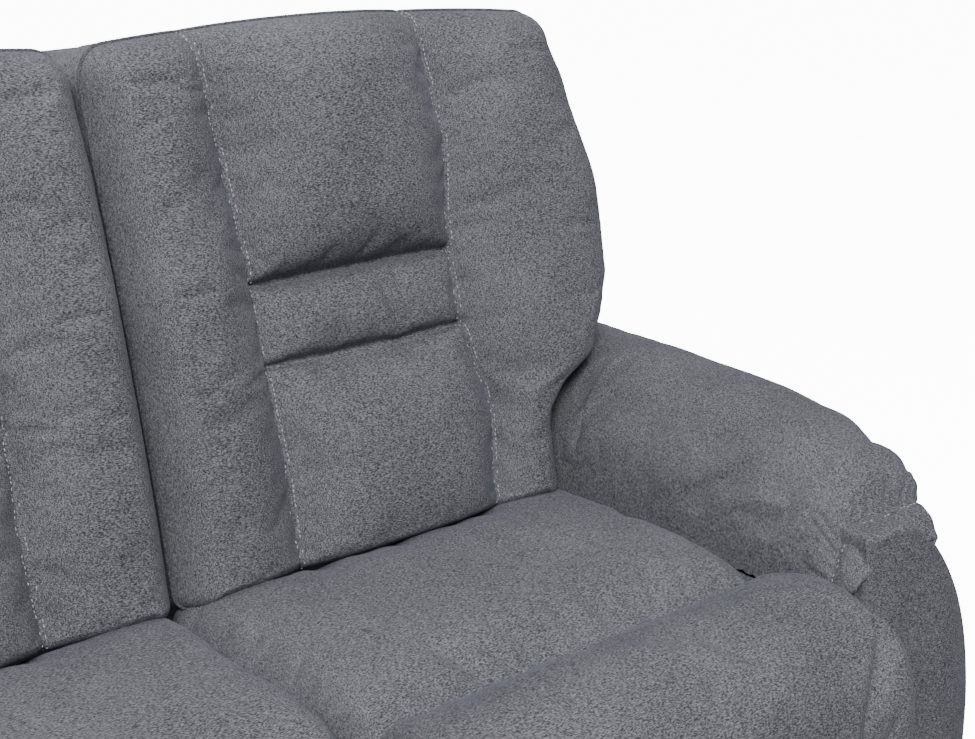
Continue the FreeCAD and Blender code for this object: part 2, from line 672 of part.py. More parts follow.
def wing_outer():
    """Outer wing: as wide as the seat below, reaching out over the arm pad above."""
    x0 = SEAM_OUTER_X + SEAM_GAP
    x1 = SEAT_BAY - CUSHION_GAP
    lower = []
    for place in stations(LOFT_STATIONS):
        up = PILLOW_LIFT + (WING_BOTTOM - PILLOW_LIFT) * (place + 1) / 2
        ease = ((1 - place) / 2) ** 4
        lower.append(pillow_section(x0, x1, up, PILLOW_DRAW * ease, WING_CROWN * (1 - 0.6 * ease)))
    upper = []
    for place in stations(LOFT_STATIONS):
        up = WING_BOTTOM + (BACK_LENGTH - WING_BOTTOM) * (place + 1) / 2
        reach = WING_REACH * (1 - 0.35 * place ** 4)
        draw = (PILLOW_DRAW / 2 if place < 0 else WING_DRAW) * place ** 4
        upper.append(pillow_section(x0, x1 + reach, up, draw, WING_CROWN * (1 - 0.4 * place ** 2)))
    return joined([loft(lower), loft(upper)])


def leaning_box(x0, x1, up0, up1, depth0, depth1):
    corners = [(up0, depth0), (up1, depth0), (up1, depth1), (up0, depth1)]
    points = [back_point(x0, up, depth) for up, depth in corners]
    return Part.Face(Part.makePolygon(points + points[:1])).extrude(Vector(x1 - x0, 0, 0))


def back_cover_outline(inset):
    """Side outline of the back's rear cover as (y, z) points, moved inward by inset."""
    front = PILLOW_DEPTH + CLOTH_GAP
    top_front = back_point(0, BACK_LENGTH - 4.0, front)
    low_front = back_point(0, PILLOW_LIFT + 2.0, front)
    rear = FRONT_Y + DEPTH
    high = top_front.z
    return [
        (top_front.y, high - inset), (rear - COVER_TOP_SLOPE, high - COVER_TOP_FALL - inset),
        (rear - inset, high - COVER_REAR_FALL),
        (COVER_REAR_BOTTOM_Y - inset, COVER_BOTTOM_Z), (COVER_REAR_BOTTOM_Y - COVER_THICKNESS, COVER_BOTTOM_Z),
        (COVER_REAR_BOTTOM_Y - COVER_THICKNESS, COVER_BOTTOM_Z + 20.0),
        (low_front.y, low_front.z - 30.0), (low_front.y, low_front.z)]


def back_cover():
    """Upholstered shell behind the pads: rear wall, side walls and top, open to the front and below."""
    wall = COVER_THICKNESS
    x0 = CUSHION_GAP + COVER_INSET
    x1 = 2 * SEAT_CENTRE - x0
    shell = plate(back_cover_outline(0.0), x0, x1)
    top_front = back_point(0, BACK_LENGTH - 4.0, PILLOW_DEPTH + CLOTH_GAP)
    low_front = back_point(0, PILLOW_LIFT + 2.0, PILLOW_DEPTH + CLOTH_GAP)
    rear = FRONT_Y + DEPTH
    hollow = plate([
        (top_front.y - 40.0, top_front.z - wall),
        (rear - COVER_TOP_SLOPE - wall / 2, top_front.z - COVER_TOP_FALL - wall),
        (rear - wall, top_front.z - COVER_REAR_FALL - wall / 2),
        (COVER_REAR_BOTTOM_Y - wall, COVER_BOTTOM_Z - 1.0),
        (low_front.y - 60.0, COVER_BOTTOM_Z - 1.0), (low_front.y - 60.0, low_front.z)], x0 + wall, x1 - wall)
    return shell.cut(hollow)


def back_bracket():
    """Hinge bracket from the carriage's upstand to the back frame, with its pin."""
    x0, x1 = layer(1)
    depth = PILLOW_DEPTH + CLOTH_GAP
    foot = back_point(0, STILE_START - 4.0, depth + 8.0)
    head_low = back_point(0, STILE_START, depth + STILE_THICKNESS)
    head_high = back_point(0, BRACKET_TOP, depth + STILE_THICKNESS)
    head_front = back_point(0, BRACKET_TOP, depth)
    neck = plate([
        (HINGE_Y - BRACKET_HALF_WIDTH, HINGE_Z), (HINGE_Y + BRACKET_HALF_WIDTH, HINGE_Z - 8.0),
        (head_low.y, head_low.z), (head_high.y, head_high.z), (head_front.y, head_front.z),
        (foot.y, foot.z - 16.0)], x0, x1)
    boss = rod(x0, x1, (HINGE_Y, HINGE_Z), HINGE_BOSS - COLLAR)
    plate_start = layer(0)[0]
    pin_start = plate_start - HINGE_PIN_HEAD
    pin = rod(pin_start, x1, (HINGE_Y, HINGE_Z), HINGE_PIN_RADIUS)
    head = rod(pin_start, plate_start - RUNNING_CLEARANCE, (HINGE_Y, HINGE_Z), HINGE_PIN_RADIUS + COLLAR)
    return joined([neck, boss, pin, head])


def back_frame():
    """Timber stiles and rails behind the pads, with a hinge bracket bolted to each stile."""
    depth0 = PILLOW_DEPTH + CLOTH_GAP
    depth1 = depth0 + STILE_THICKNESS
    stile_x = layer(1)[1]
    low = STILE_START
    high = BACK_LENGTH - STILE_TOP_SETBACK
    inner = stile_x + STILE_WIDTH
    stile = leaning_box(stile_x, inner, low, high, depth0, depth1)
    packer_x = CUSHION_GAP + COVER_INSET + COVER_THICKNESS
    packer = leaning_box(packer_x, stile_x, low + BRACKET_TOP, high, depth0, depth1)
    pieces = both_sides(joined([stile, packer, back_bracket()]))
    far = 2 * SEAT_CENTRE - inner
    for start in (low, (low + high) / 2, high - FRAME_RAIL_HEIGHT):
        pieces.append(leaning_box(inner, far, start, start + FRAME_RAIL_HEIGHT, depth0, depth1))
    return pieces


# Footrest linkage

def drilled(solid, index, holes):
    x0, x1 = layer(index)
    return solid.cut([rod(x0, x1, centre, radius) for centre, radius in holes])


def rear_link():
    x0, x1 = layer(3)
    solid = joined([
        bar(PIVOT_A, PIVOT_B, LINK_HALF_WIDTH, x0, x1), bar(PIVOT_B, PIVOT_F, LINK_HALF_WIDTH, x0, x1),
        rod(layer(2)[0], x1, PIVOT_B, LINK_PIN_RADIUS), rod(x0, layer(4)[1], PIVOT_F, LINK_PIN_RADIUS)])
    return drilled(solid, 3, [(PIVOT_A, LINK_PIN_RADIUS + RUNNING_CLEARANCE)])


def front_link():
    x0, x1 = layer(2)
    solid = joined([
        bar(PIVOT_B, PIVOT_C, LINK_HALF_WIDTH, x0, x1), bar(PIVOT_B, PIVOT_E, LINK_HALF_WIDTH, x0, x1),
        rod(layer(1)[0], x1, PIVOT_E, LINK_PIN_RADIUS)])
    hole = LINK_PIN_RADIUS + RUNNING_CLEARANCE
    return drilled(solid, 2, [(PIVOT_B, hole), (PIVOT_C, hole)])


def control_link():
    x0, x1 = layer(1)
    return drilled(bar(PIVOT_D, PIVOT_E, LINK_HALF_WIDTH, x0, x1), 1, [
        (PIVOT_D, LINK_PIN_RADIUS + RUNNING_CLEARANCE), (PIVOT_E, LINK_PIN_RADIUS + OPEN_PIVOT_CLEARANCE)])


def panel_link():
    x0, x1 = layer(4)
    return drilled(bar(PIVOT_F, PANEL_LINK_END, LINK_HALF_WIDTH, x0, x1), 4, [
        (PIVOT_F, LINK_PIN_RADIUS + RUNNING_CLEARANCE),
        (PANEL_LINK_END, LINK_PIN_RADIUS + OPEN_PIVOT_CLEARANCE)])


def drive_tube():
    """Cross tube that ties the rear links of both sides together on their carriage pivot."""
    x0 = layer(3)[1]
    x1 = 2 * SEAT_CENTRE - x0
    return rod(x0, x1, PIVOT_A, TUBE_RADIUS).cut(rod(x0, x1, PIVOT_A, TUBE_RADIUS - TUBE_WALL))


def board_front_y():
    return FRONT_Y + FOOT_PAD_THICKNESS + CLOTH_GAP


def board_rear_y():
    return board_front_y() + FOOT_BOARD_THICKNESS


def footrest_bracket():
    """Angle bracket: its web carries two link pivots, its flange is screwed to the board."""
    x0, x1 = layer(3)
    rear = board_rear_y()
    low = PIVOT_G[1] - LINK_HALF_WIDTH
    high = PIVOT_C[1] + LINK_HALF_WIDTH
    web = joined([bar(PIVOT_C, PIVOT_G, LINK_HALF_WIDTH, x0, x1), box(x0, x1, rear, PIVOT_C[0], low, high)])
    flange = box(x0, x0 + BRACKET_FLANGE, rear, rear + BRACKET_THICKNESS, low, high)
    pin_c = rod(layer(2)[0], x1, PIVOT_C, LINK_PIN_RADIUS)
    pin_g = rod(x0, layer(4)[1], PIVOT_G, LINK_PIN_RADIUS)
    return joined([web, flange, pin_c, pin_g])


def footrest_board():
    margin = FOOT_BOARD_MARGIN
    return box(CUSHION_GAP + margin, SEAT_BAY - CUSHION_GAP - margin, board_front_y(), board_rear_y(),
               FOOT_BOTTOM_Z + margin, FOOT_TOP_Z - margin)


def footrest_section(x, inset, crown):
    front = FRONT_Y + inset + SEAT_CROWN
    rear = FRONT_Y + FOOT_PAD_THICKNESS
    low = FOOT_BOTTOM_Z + inset
    high = FOOT_TOP_Z - inset
    corner = 16.0
    cut = corner * 0.3
    return outline([
        Vector(x, rear, low), Vector(x, front + corner, low),
        (Vector(x, front + cut, low + cut), Vector(x, front, low + corner)),
        (Vector(x, front - crown, (low + high) / 2), Vector(x, front, high - corner)),
        (Vector(x, front + cut, high - cut), Vector(x, front + corner, high)), Vector(x, rear, high)])


def footrest_pad():
    x0 = CUSHION_GAP + 1.0
    x1 = 2 * SEAT_CENTRE - x0
    return soft_loft(footrest_section, x0, x1, SIDE_DRAW, SEAT_CROWN)


# Release lever, trip arm and cable, on the outboard side

def lever_plate():
    x0 = ARM_OUTER_X
    x1 = x0 + LEVER_PLATE_THICKNESS
    disc = rod(x0, x1, (LEVER_Y, LEVER_Z), LEVER_PLATE_RADIUS)
    return disc.cut(rod(x0, x1, (LEVER_Y, LEVER_Z), LEVER_SHAFT_RADIUS + SLOT_CLEARANCE))


def release_lever():
    """Blade and hub outside the arm, shaft through it, crank for the cable inside."""
    droop = math.radians(LEVER_DROOP)
    pivot = (LEVER_Y, LEVER_Z)
    tip = (LEVER_Y - LEVER_LENGTH * math.cos(droop), LEVER_Z - LEVER_LENGTH * math.sin(droop))
    blade_x = ARM_OUTER_X + LEVER_STANDOFF
    hub_x = ARM_OUTER_X + LEVER_PLATE_THICKNESS + SLOT_CLEARANCE
    return joined([
        bar(pivot, tip, LEVER_HALF_WIDTH, blade_x, blade_x + LEVER_BLADE),
        rod(hub_x, blade_x, pivot, LEVER_HUB_RADIUS),
        rod(CRANK_X, hub_x, pivot, LEVER_SHAFT_RADIUS),
        bar(pivot, (LEVER_Y, LEVER_Z - CRANK_LENGTH), CRANK_HALF_WIDTH, CRANK_X, CRANK_X + LINK_THICKNESS)])


def trip_layer():
    inboard = layer(3)
    return 2 * SEAT_CENTRE - inboard[1], 2 * SEAT_CENTRE - inboard[0]


def cable_end_x():
    return sum(trip_layer()) / 2


def trip_arm():
    """Bell crank: its nose stands behind the rear link's end, the cable pulls its tail."""
    x0, x1 = trip_layer()
    pivot = (TRIP_Y, TRIP_Z)
    nose = (TRIP_Y - TRIP_NOSE, TRIP_Z - 4.0)
    tail = (TRIP_Y, TRIP_Z - TRIP_TAIL)
    solid = joined([
        bar(pivot, nose, TRIP_HALF_WIDTH, x0, x1), bar(pivot, tail, TRIP_HALF_WIDTH, x0, x1),
        rod(x0, x1, pivot, TRIP_HALF_WIDTH + 3.0)])
    return solid.cut(rod(x0, x1, pivot, LINK_PIN_RADIUS + RUNNING_CLEARANCE))


def rounded_path(points, radius):
    """Straight runs joined by tangent arcs of one radius."""
    edges = []
    here = points[0]
    for before, corner, after in zip(points, points[1:], points[2:]):
        into = (corner - before).normalize()
        out = (after - corner).normalize()
        turn = into.getAngle(out)
        trim = radius * math.tan(turn / 2)
        arc_start = corner - into * trim
        arc_end = corner + out * trim
        inward = (out - into).normalize()
        centre = corner + inward * (radius / math.cos(turn / 2))
        edges.append(Part.LineSegment(here, arc_start).toShape())
        edges.append(Part.Arc(arc_start, centre - inward * radius, arc_end).toShape())
        here = arc_end
    edges.append(Part.LineSegment(here, points[-1]).toShape())
    return Part.Wire(edges)


def cable(radius):
    """Cable housing from the lever's crank, through the arm, to the trip arm."""
    crank_z = LEVER_Z - CRANK_LENGTH
    tail_z = TRIP_Z - TRIP_TAIL
    crank_x = CRANK_X + LINK_THICKNESS / 2
    start = Vector(crank_x, LEVER_Y + 9.0, crank_z)
    end = Vector(cable_end_x(), TRIP_Y + TRIP_HALF_WIDTH + 7.0, tail_z)
    path = rounded_path([
        start, Vector(crank_x, CABLE_BACK_Y, crank_z),
        Vector(cable_end_x(), CABLE_BACK_Y, tail_z), end], CABLE_BEND)
    section = Part.Wire(Part.makeCircle(radius, start, Vector(0, 1, 0)))
    return path.makePipeShell([section], True, False)


def main():
    os.makedirs("parts", exist_ok=True)
    save("front_rail", [rail(FRONT_RAIL_Y)])
    save("rear_rail", [rail(REAR_RAIL_Y)])
    save("rail_bolts", rail_bolts())
    save("glides", glides())
    save("mechanism_rails", mechanism_rails())
    save("shoulder_pins", shoulder_pins())
    save_pair("arm_frame", [arm_frame()])
    save_pair("arm_cover", [arm_cover()])
    save_pair("arm_pad", [arm_pad()])
    save_pair("side_plates", both_sides(side_plate()))
    save_pair("seat_frame", seat_frame())
    save_pair("seat_springs", seat_springs())
    save_pair("seat_cushion", [seat_cushion()])
    save_pair("back_frame", back_frame())
    save_pair("back_cover", [back_cover()])
    save_pair("headrest", [headrest()])
    save_pair("lumbar_roll", [lumbar_roll()])
    save_pair("lower_back", [lower_back()])
    save_pair("wing_inner", [wing_inner()])
    save_pair("wing_outer", [wing_outer()])
    save_pair("rear_links", both_sides(rear_link()))
    save_pair("drive_tube", [drive_tube()])
    save_pair("front_links", both_sides(front_link()))
    save_pair("control_links", both_sides(control_link()))
    save_pair("panel_links", both_sides(panel_link()))
    save_pair("footrest_brackets", both_sides(footrest_bracket()))
    save_pair("footrest_board", [footrest_board()])
    save_pair("footrest_pad", [footrest_pad()])
    save_pair("lever_plate", [lever_plate()])
    save_pair("release_lever", [release_lever()])
    save_pair("trip_arm", [trip_arm()])
    save_pair("release_cable", [cable(CABLE_RADIUS)])


main()
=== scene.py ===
import math

import bmesh
import bpy
from bpy.props import FloatProperty, FloatVectorProperty, IntProperty, PointerProperty
from bpy.types import Operator, Panel, PropertyGroup
from mathutils import Matrix, Vector, noise
from mathutils.bvhtree import BVHTree


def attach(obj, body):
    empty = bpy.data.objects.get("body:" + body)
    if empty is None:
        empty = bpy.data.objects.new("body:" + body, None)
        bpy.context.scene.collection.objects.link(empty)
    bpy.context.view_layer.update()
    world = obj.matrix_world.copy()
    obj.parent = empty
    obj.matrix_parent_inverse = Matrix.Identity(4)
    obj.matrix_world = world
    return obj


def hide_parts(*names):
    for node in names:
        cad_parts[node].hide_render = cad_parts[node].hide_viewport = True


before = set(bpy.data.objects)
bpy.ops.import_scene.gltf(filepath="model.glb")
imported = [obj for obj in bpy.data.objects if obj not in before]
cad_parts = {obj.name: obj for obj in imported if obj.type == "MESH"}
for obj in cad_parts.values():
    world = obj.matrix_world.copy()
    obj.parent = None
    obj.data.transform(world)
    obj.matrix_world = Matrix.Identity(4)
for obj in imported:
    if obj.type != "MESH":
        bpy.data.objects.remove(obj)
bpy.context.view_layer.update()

bl_info = {
    "name": "Reclining Sofa",
    "version": (1, 0, 0),
    "blender": (4, 5, 0),
    "location": "3D Viewport > Sidebar > Sofa",
    "description": "Dresses the frame of a two-seat reclining sofa in padded woven cloth",
    "category": "Add Mesh",
}

# Sizes of the sofa that the padding follows, in millimetres, as in the part's source
BACK_FRONT_Y = 50.0
BACK_BASE_Z = 497.0
BACK_LEAN = math.radians(14.3)
BACK_LENGTH = 531.0
ARM_FRONT_Y = -352.0
ARM_REAR_Y = 400.0
ARM_INNER_X = 508.0


def linear(hex_colour):
    """sRGB hex value as linear red, green and blue."""
    parts = [int(hex_colour[i:i + 2], 16) / 255.0 for i in (0, 2, 4)]
    return tuple(p / 12.92 if p <= 0.04045 else ((p + 0.055) / 1.055) ** 2.4 for p in parts)


class SofaSizes(PropertyGroup):
    weave: FloatProperty(name="Weave", description="Spacing of the cloth's threads",
                         default=0.0012, unit="LENGTH")
    piping: FloatProperty(name="Piping", description="Radius of the corded seam along the top of the back",
                          default=0.0026, unit="LENGTH")
    stitch: FloatProperty(name="Stitch", description="Length from one topstitch to the next",
                          default=0.0052, unit="LENGTH")
    stitch_offset: FloatProperty(name="Stitch offset", default=0.0050, unit="LENGTH",
                                 description="Distance of a row of stitches from its seam")
    pressure: FloatProperty(name="Filling", description="Pressure of the filling against the cloth",
                            default=4.0)
    swell: FloatProperty(name="Swell", description="Furthest that the filling may push the cloth",
                         default=0.016, unit="LENGTH")
    frames: IntProperty(name="Steps", description="Steps that the cloth is given to settle", default=20)


class SofaColours(PropertyGroup):
    cloth: FloatVectorProperty(name="Cloth", description="Main colour of the woven cloth", subtype="COLOR",
                               default=linear("535358"))
    cloth_dark: FloatVectorProperty(name="Cloth, dark thread", description="Darker thread of the weave",
                                    subtype="COLOR", default=linear("2b2c31"))
    thread: FloatVectorProperty(name="Topstitch", description="Colour of the topstitching", subtype="COLOR",
                                default=linear("8f9095"))
    timber: FloatVectorProperty(name="Timber", description="Colour of the frame's timber", subtype="COLOR",
                                default=linear("c29a63"))
    black_steel: FloatVectorProperty(name="Painted steel", description="Colour of the painted steel",
                                     subtype="COLOR", default=linear("1b1c1e"))


def sizes():
    return bpy.context.scene.sofa_sizes


def colours():
    return bpy.context.scene.sofa_colours


# Small helpers for shapes

def smooth(low, high, value):
    """0 below low, 1 above high, and a smooth step between."""
    t = min(1.0, max(0.0, (value - low) / (high - low)))
    return t * t * (3.0 - 2.0 * t)


def between(value, places, amounts, ease=0.5):
    """Amount at a value, from the amounts at rising places; ease 0 joins them with straight lines."""
    if value <= places[0]:
        return amounts[0]
    for i in range(len(places) - 1):
        if value <= places[i + 1]:
            t = (value - places[i]) / (places[i + 1] - places[i])
            t = (1.0 - ease) * t + ease * t * t * (3.0 - 2.0 * t)
            return amounts[i] + (amounts[i + 1] - amounts[i]) * t
    return amounts[-1]


def spaced(stops, step, tighten=0.5):
    """Lines from the first stop to the last, with one on every stop, closer together beside each stop."""
    lines = [stops[0]]
    for start, end in zip(stops, stops[1:]):
        count = max(2, round((end - start) / step))
        for i in range(1, count + 1):
            t = i / count
            t = (1.0 - tighten) * t + tighten * (0.5 - 0.5 * math.cos(math.pi * t))
            lines.append(start + (end - start) * t)
    return lines


def wave(point, size, seed=0.0):
    """Soft noise between -1 and 1 whose bumps are about size across."""
    return noise.noise(Vector((point[0] / size + seed * 17.3, point[1] / size - seed * 9.1, point[2] / size)))


def cloth_grid(columns, rows, place):
    """Grid of cloth whose lines follow the seams; place(column, row) gives each point in millimetres."""
    bm = bmesh.new()
    bmesh.ops.create_grid(bm, x_segments=len(columns) - 1, y_segments=len(rows) - 1, size=1.0)
    column_of = bm.verts.layers.int.new("column")
    row_of = bm.verts.layers.int.new("row")
    for vert in bm.verts:
        i = round((vert.co.x + 1.0) / 2.0 * (len(columns) - 1))
        j = round((vert.co.y + 1.0) / 2.0 * (len(rows) - 1))
        vert[column_of] = i
        vert[row_of] = j
        vert.co = Vector(place(columns[i], rows[j])) / 1000.0
    return bm


def outward(bm):
    """Turns every face of a closed shape outwards."""
    bmesh.ops.recalc_face_normals(bm, faces=bm.faces)


def finished(bm, name, material, body):
    """Mesh object from a bmesh, shaded smooth, riding on a body."""
    mesh = bpy.data.meshes.new(name)
    bm.to_mesh(mesh)
    bm.free()
    mesh.shade_smooth()
    piece = bpy.data.objects.new(name, mesh)
    bpy.context.scene.collection.objects.link(piece)
    mesh.materials.append(material)
    if body:
        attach(piece, body)
    return piece


def cloth_form(name, columns, rows, place, body, welded=False):
    """Closed cloth form riding on a body; welded joins edges that meet."""
    bm = cloth_grid(columns, rows, place)
    if welded:
        bmesh.ops.remove_doubles(bm, verts=bm.verts, dist=0.0001)
    close_holes(bm)
    outward(bm)
    return finished(bm, name, material("upholstery_weave"), body)


def refine(piece, levels=1):
    rounding = piece.modifiers.new("Rounding", "SUBSURF")
    rounding.levels = levels
    rounding.render_levels = levels
    return piece


def mirrored_mesh(mesh, name):
    """Left-hand copy of a right-hand mesh."""
    bm = bmesh.new()
    bm.from_mesh(mesh)
    bmesh.ops.transform(bm, matrix=Matrix.Scale(-1.0, 4, (1, 0, 0)), verts=bm.verts)
    bmesh.ops.reverse_faces(bm, faces=bm.faces)
    copy = bpy.data.meshes.new(name)
    bm.to_mesh(copy)
    bm.free()
    copy.shade_smooth()
    for material in mesh.materials:
        copy.materials.append(material)
    return copy


def left_copy(piece, name, body):
    other = bpy.data.objects.new(name, mirrored_mesh(piece.data, name))
    bpy.context.scene.collection.objects.link(other)
    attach(other, body)
    return other


def fill_out(piece, held, growth, reach, pressure=None):
    """Lets the filling push the cloth out between its seams; held(column, row) is 1 where it can't move."""
    size = sizes()
    columns = piece.data.attributes["column"].data
    rows = piece.data.attributes["row"].data
    weights = [held(columns[v.index].value, rows[v.index].value) for v in piece.data.vertices]
    group = piece.vertex_groups.new(name="held")
    for index, weight in enumerate(weights):
        if weight > 0.0:
            group.add([index], weight, "REPLACE")
    scene = bpy.context.scene
    cloth = piece.modifiers.new("Cloth", "CLOTH")
    settings = cloth.settings
    settings.quality = 6
    settings.mass = 0.3
    settings.tension_stiffness = 15.0
    settings.compression_stiffness = 15.0
    settings.shear_stiffness = 5.0
    settings.bending_stiffness = 0.6
    settings.use_pressure = True
    settings.uniform_pressure_force = size.pressure if pressure is None else pressure
    settings.shrink_min = -growth
    settings.vertex_group_mass = "held"
    settings.pin_stiffness = 1.0
    settings.effector_weights.gravity = 0.0
    cloth.collision_settings.use_collision = False
    cloth.point_cache.frame_start = 1
    cloth.point_cache.frame_end = size.frames
    for step in range(1, size.frames + 1):
        scene.frame_set(step)
    settled = piece.evaluated_get(bpy.context.evaluated_depsgraph_get())
    places = [v.co.copy() for v in settled.data.vertices]
    piece.modifiers.remove(cloth)
    furthest = min(size.swell, reach)
    for vert, place in zip(piece.data.vertices, places):
        shift = place - vert.co
        if shift.length > 1e-9:
            shift *= furthest * math.tanh(shift.length / furthest) / shift.length
        vert.co += shift
    piece.vertex_groups.clear()
    piece.data.update()
    scene.frame_set(1)


def both_sides(piece, trimmings, body, stands_for):
    for side in ("r", "l"):
        if side == "l":
            left_body = "base" if body == "base" else body + "_l"
            piece = refine(left_copy(piece, piece.name[:-1] + "l", left_body))
            trimmings = [left_copy(made, made.name[:-1] + "l", left_body) for made in trimmings]
        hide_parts(*[part + "_" + side for part in stands_for])


def line_of(piece, chosen):
    """Places of the vertices for which chosen(column, row) gives a sort key, in the key's order."""
    mesh = piece.data
    columns = mesh.attributes["column"].data
    rows = mesh.attributes["row"].data
    found = []
    for vert in mesh.vertices:
        key = chosen(columns[vert.index].value, rows[vert.index].value)
        if key is not None:
            found.append((key, vert.co.copy()))
    return [place for key, place in sorted(found, key=lambda item: item[0])]


def even_steps(line, step):
    """Points and directions at even steps along a line of points."""
    out = []
    travelled = 0.0
    for a, b in zip(line, line[1:]):
        length = (b - a).length
        while travelled <= length and length > 0.0:
            out.append((a.lerp(b, travelled / length), (b - a).normalized()))
            travelled += step
        travelled -= length
    return out


def surface_of(piece):
    mesh = piece.data
    return BVHTree.FromPolygons([v.co for v in mesh.vertices], [list(p.vertices) for p in mesh.polygons])


def close_holes(bm):
    """Closes what is left open with triangles, because one face of hundreds of sides can't be rounded."""
    made = bmesh.ops.holes_fill(bm, edges=[e for e in bm.edges if e.is_boundary])
    bmesh.ops.triangulate(bm, faces=made["faces"], ngon_method="EAR_CLIP")


def topstitch(name, piece, lines, offsets, body):
    """Rows of short stitches on a piece, beside each seam line."""
    size = sizes()
    surface = surface_of(piece)
    bm = bmesh.new()
    for line in lines:
        for offset in offsets:
            for place, along in even_steps(line, size.stitch):
                normal = surface.find_nearest(place)[1]
                across = along.cross(normal).normalized()
                spot, normal = surface.find_nearest(place + across * offset)[:2]
                along = (along - normal * along.dot(normal)).normalized()
                across = along.cross(normal)
                turn = Matrix((along, across, normal)).transposed().to_4x4()
                shape = Matrix.Diagonal((size.stitch * 0.40, 0.0008, 0.0006, 1.0))
                matrix = Matrix.Translation(spot + normal * 0.0002) @ turn @ shape
                bmesh.ops.create_uvsphere(bm, u_segments=6, v_segments=4, radius=1.0, matrix=matrix)
    return finished(bm, name, material("topstitch"), body)


def cord_along(name, line, radius, body, sides=6):
    """Thin cloth cord sewn along a line of points, as a tube with closed ends; its cloth is darkened as
    painted shade of the seam.
    """
    bm = bmesh.new()
    rings = []
    for i, place in enumerate(line):
        before = line[max(0, i - 1)]
        after = line[min(len(line) - 1, i + 1)]
        along = (after - before).normalized()
        turn = along.to_track_quat("Z", "Y").to_matrix().to_4x4()
        matrix = Matrix.Translation(place) @ turn
        made = bmesh.ops.create_circle(bm, segments=sides, radius=radius, matrix=matrix)
        rings.append(made["verts"])
    for first, second in zip(rings, rings[1:]):
        edges = []
        for ring in (first, second):
            edges += list({e for v in ring for e in v.link_edges if e.other_vert(v) in ring})
        bmesh.ops.bridge_loops(bm, edges=edges)
    close_holes(bm)
    outward(bm)
    return finished(bm, name, material("upholstery_cord"), body)


# Materials

MATERIALS = {}


def material(name):
    return MATERIALS[name]


def node(tree, kind, settings=None, **links):
    """Adds a node, sets its settings and inputs, and links inputs that are given as sockets."""
    made = tree.nodes.new(kind)
    for key, value in (settings or {}).items():
        setattr(made, key, value)
    for key, value in links.items():
        by_number = key[0] == "i" and key[1:].isdigit()
        socket = made.inputs[int(key[1:]) if by_number else key.replace("_", " ")]
        if isinstance(value, bpy.types.NodeSocket):
            tree.links.new(value, socket)
        else:
            socket.default_value = value
    return made


def new_material(name):
    """New material: its node tree, its shader and the object's own coordinates."""
    made = bpy.data.materials.new(name)
    made.use_nodes = True
    MATERIALS[name] = made
    tree = made.node_tree
    return tree, tree.nodes["Principled BSDF"], node(tree, "ShaderNodeTexCoord").outputs["Object"]


def give_surface(tree, shader, colour, bump):
    tree.links.new(colour.outputs[0], shader.inputs["Base Color"])
    tree.links.new(bump.outputs[0], shader.inputs["Normal"])


def colour4(rgb, gain=1.0):
    return (rgb[0] * gain, rgb[1] * gain, rgb[2] * gain, 1.0)


def ramp(tree, factor, stops):
    made = node(tree, "ShaderNodeValToRGB", i0=factor)
    band = made.color_ramp
    while len(band.elements) < len(stops):
        band.elements.new(0.5)
    for element, (position, colour) in zip(band.elements, stops):
        element.position = position
        element.color = colour
    return made


def cloth_material(name, light, dark, gain=1.0):
    """Polyester upholstery cloth, plain woven from slub yarn: matt, fine crossed threads in two greys."""
    tree, shader, place = new_material(name)
    weave = sizes().weave
    along = 1.0 / (weave * 2.4)
    thin = 1.0 / (weave * 0.62)
    # Threads that run across the sofa, and threads that cross them
    weft_map = node(tree, "ShaderNodeMapping", i0=place, Scale=(along, thin, thin))
    warp_map = node(tree, "ShaderNodeMapping", i0=place, Scale=(thin, along, along))
    weft = node(tree, "ShaderNodeTexNoise", Vector=weft_map.outputs[0], Scale=1.0, Detail=0.0)
    warp = node(tree, "ShaderNodeTexNoise", Vector=warp_map.outputs[0], Scale=1.0, Detail=0.0)
    most = node(tree, "ShaderNodeMath", {"operation": "MULTIPLY"}, i0=weft.outputs[0], i1=0.7)
    knots = node(tree, "ShaderNodeMath", {"operation": "MULTIPLY_ADD"}, i0=warp.outputs[0], i1=0.3,
                 i2=most.outputs[0])
    # Slow change of tone, where the nap lies one way or the other
    patches = node(tree, "ShaderNodeTexNoise", Vector=place, Scale=7.0, Detail=4.0, Roughness=0.6)
    tone = node(tree, "ShaderNodeMath", {"operation": "MULTIPLY_ADD"}, i0=patches.outputs[0], i1=0.16,
                i2=-0.08)
    mixed = node(tree, "ShaderNodeMath", {"operation": "ADD"}, i0=knots.outputs[0], i1=tone.outputs[0])
    # A gain below 1 darkens the whole cloth; the cord uses it as painted shade.
    colour = ramp(tree, mixed.outputs[0], [(0.32, colour4(dark, gain)), (0.50, colour4(light, gain)),
                                           (0.68, colour4(light, gain * 2.0))])
    bump = node(tree, "ShaderNodeBump", Strength=0.5, Distance=0.0007, Height=knots.outputs[0])
    give_surface(tree, shader, colour, bump)
    shader.inputs["Roughness"].default_value = 0.92
    shader.inputs["Specular IOR Level"].default_value = 0.2
    shader.inputs["Sheen Weight"].default_value = 0.08
    shader.inputs["Sheen Roughness"].default_value = 0.4
    shader.inputs["Sheen Tint"].default_value = colour4(linear("b9c2dc"))


def metal_material(name, colour, roughness, metallic, scale):
    """Steel with its finish: fine mottling in tone and roughness from handling and forming."""
    tree, shader, place = new_material(name)
    grain = node(tree, "ShaderNodeTexNoise", Vector=place, Scale=scale, Detail=4.0, Roughness=0.6)
    tint = ramp(tree, grain.outputs[0], [(0.3, colour4(colour, 0.8)), (0.7, colour4(colour, 1.2))])
    rough = node(tree, "ShaderNodeMapRange", Value=grain.outputs[0], To_Min=roughness * 0.8,
                 To_Max=roughness * 1.25)
    bump = node(tree, "ShaderNodeBump", Strength=0.15, Distance=0.0004, Height=grain.outputs[0])
    give_surface(tree, shader, tint, bump)
    tree.links.new(rough.outputs[0], shader.inputs["Roughness"])
    shader.inputs["Metallic"].default_value = metallic


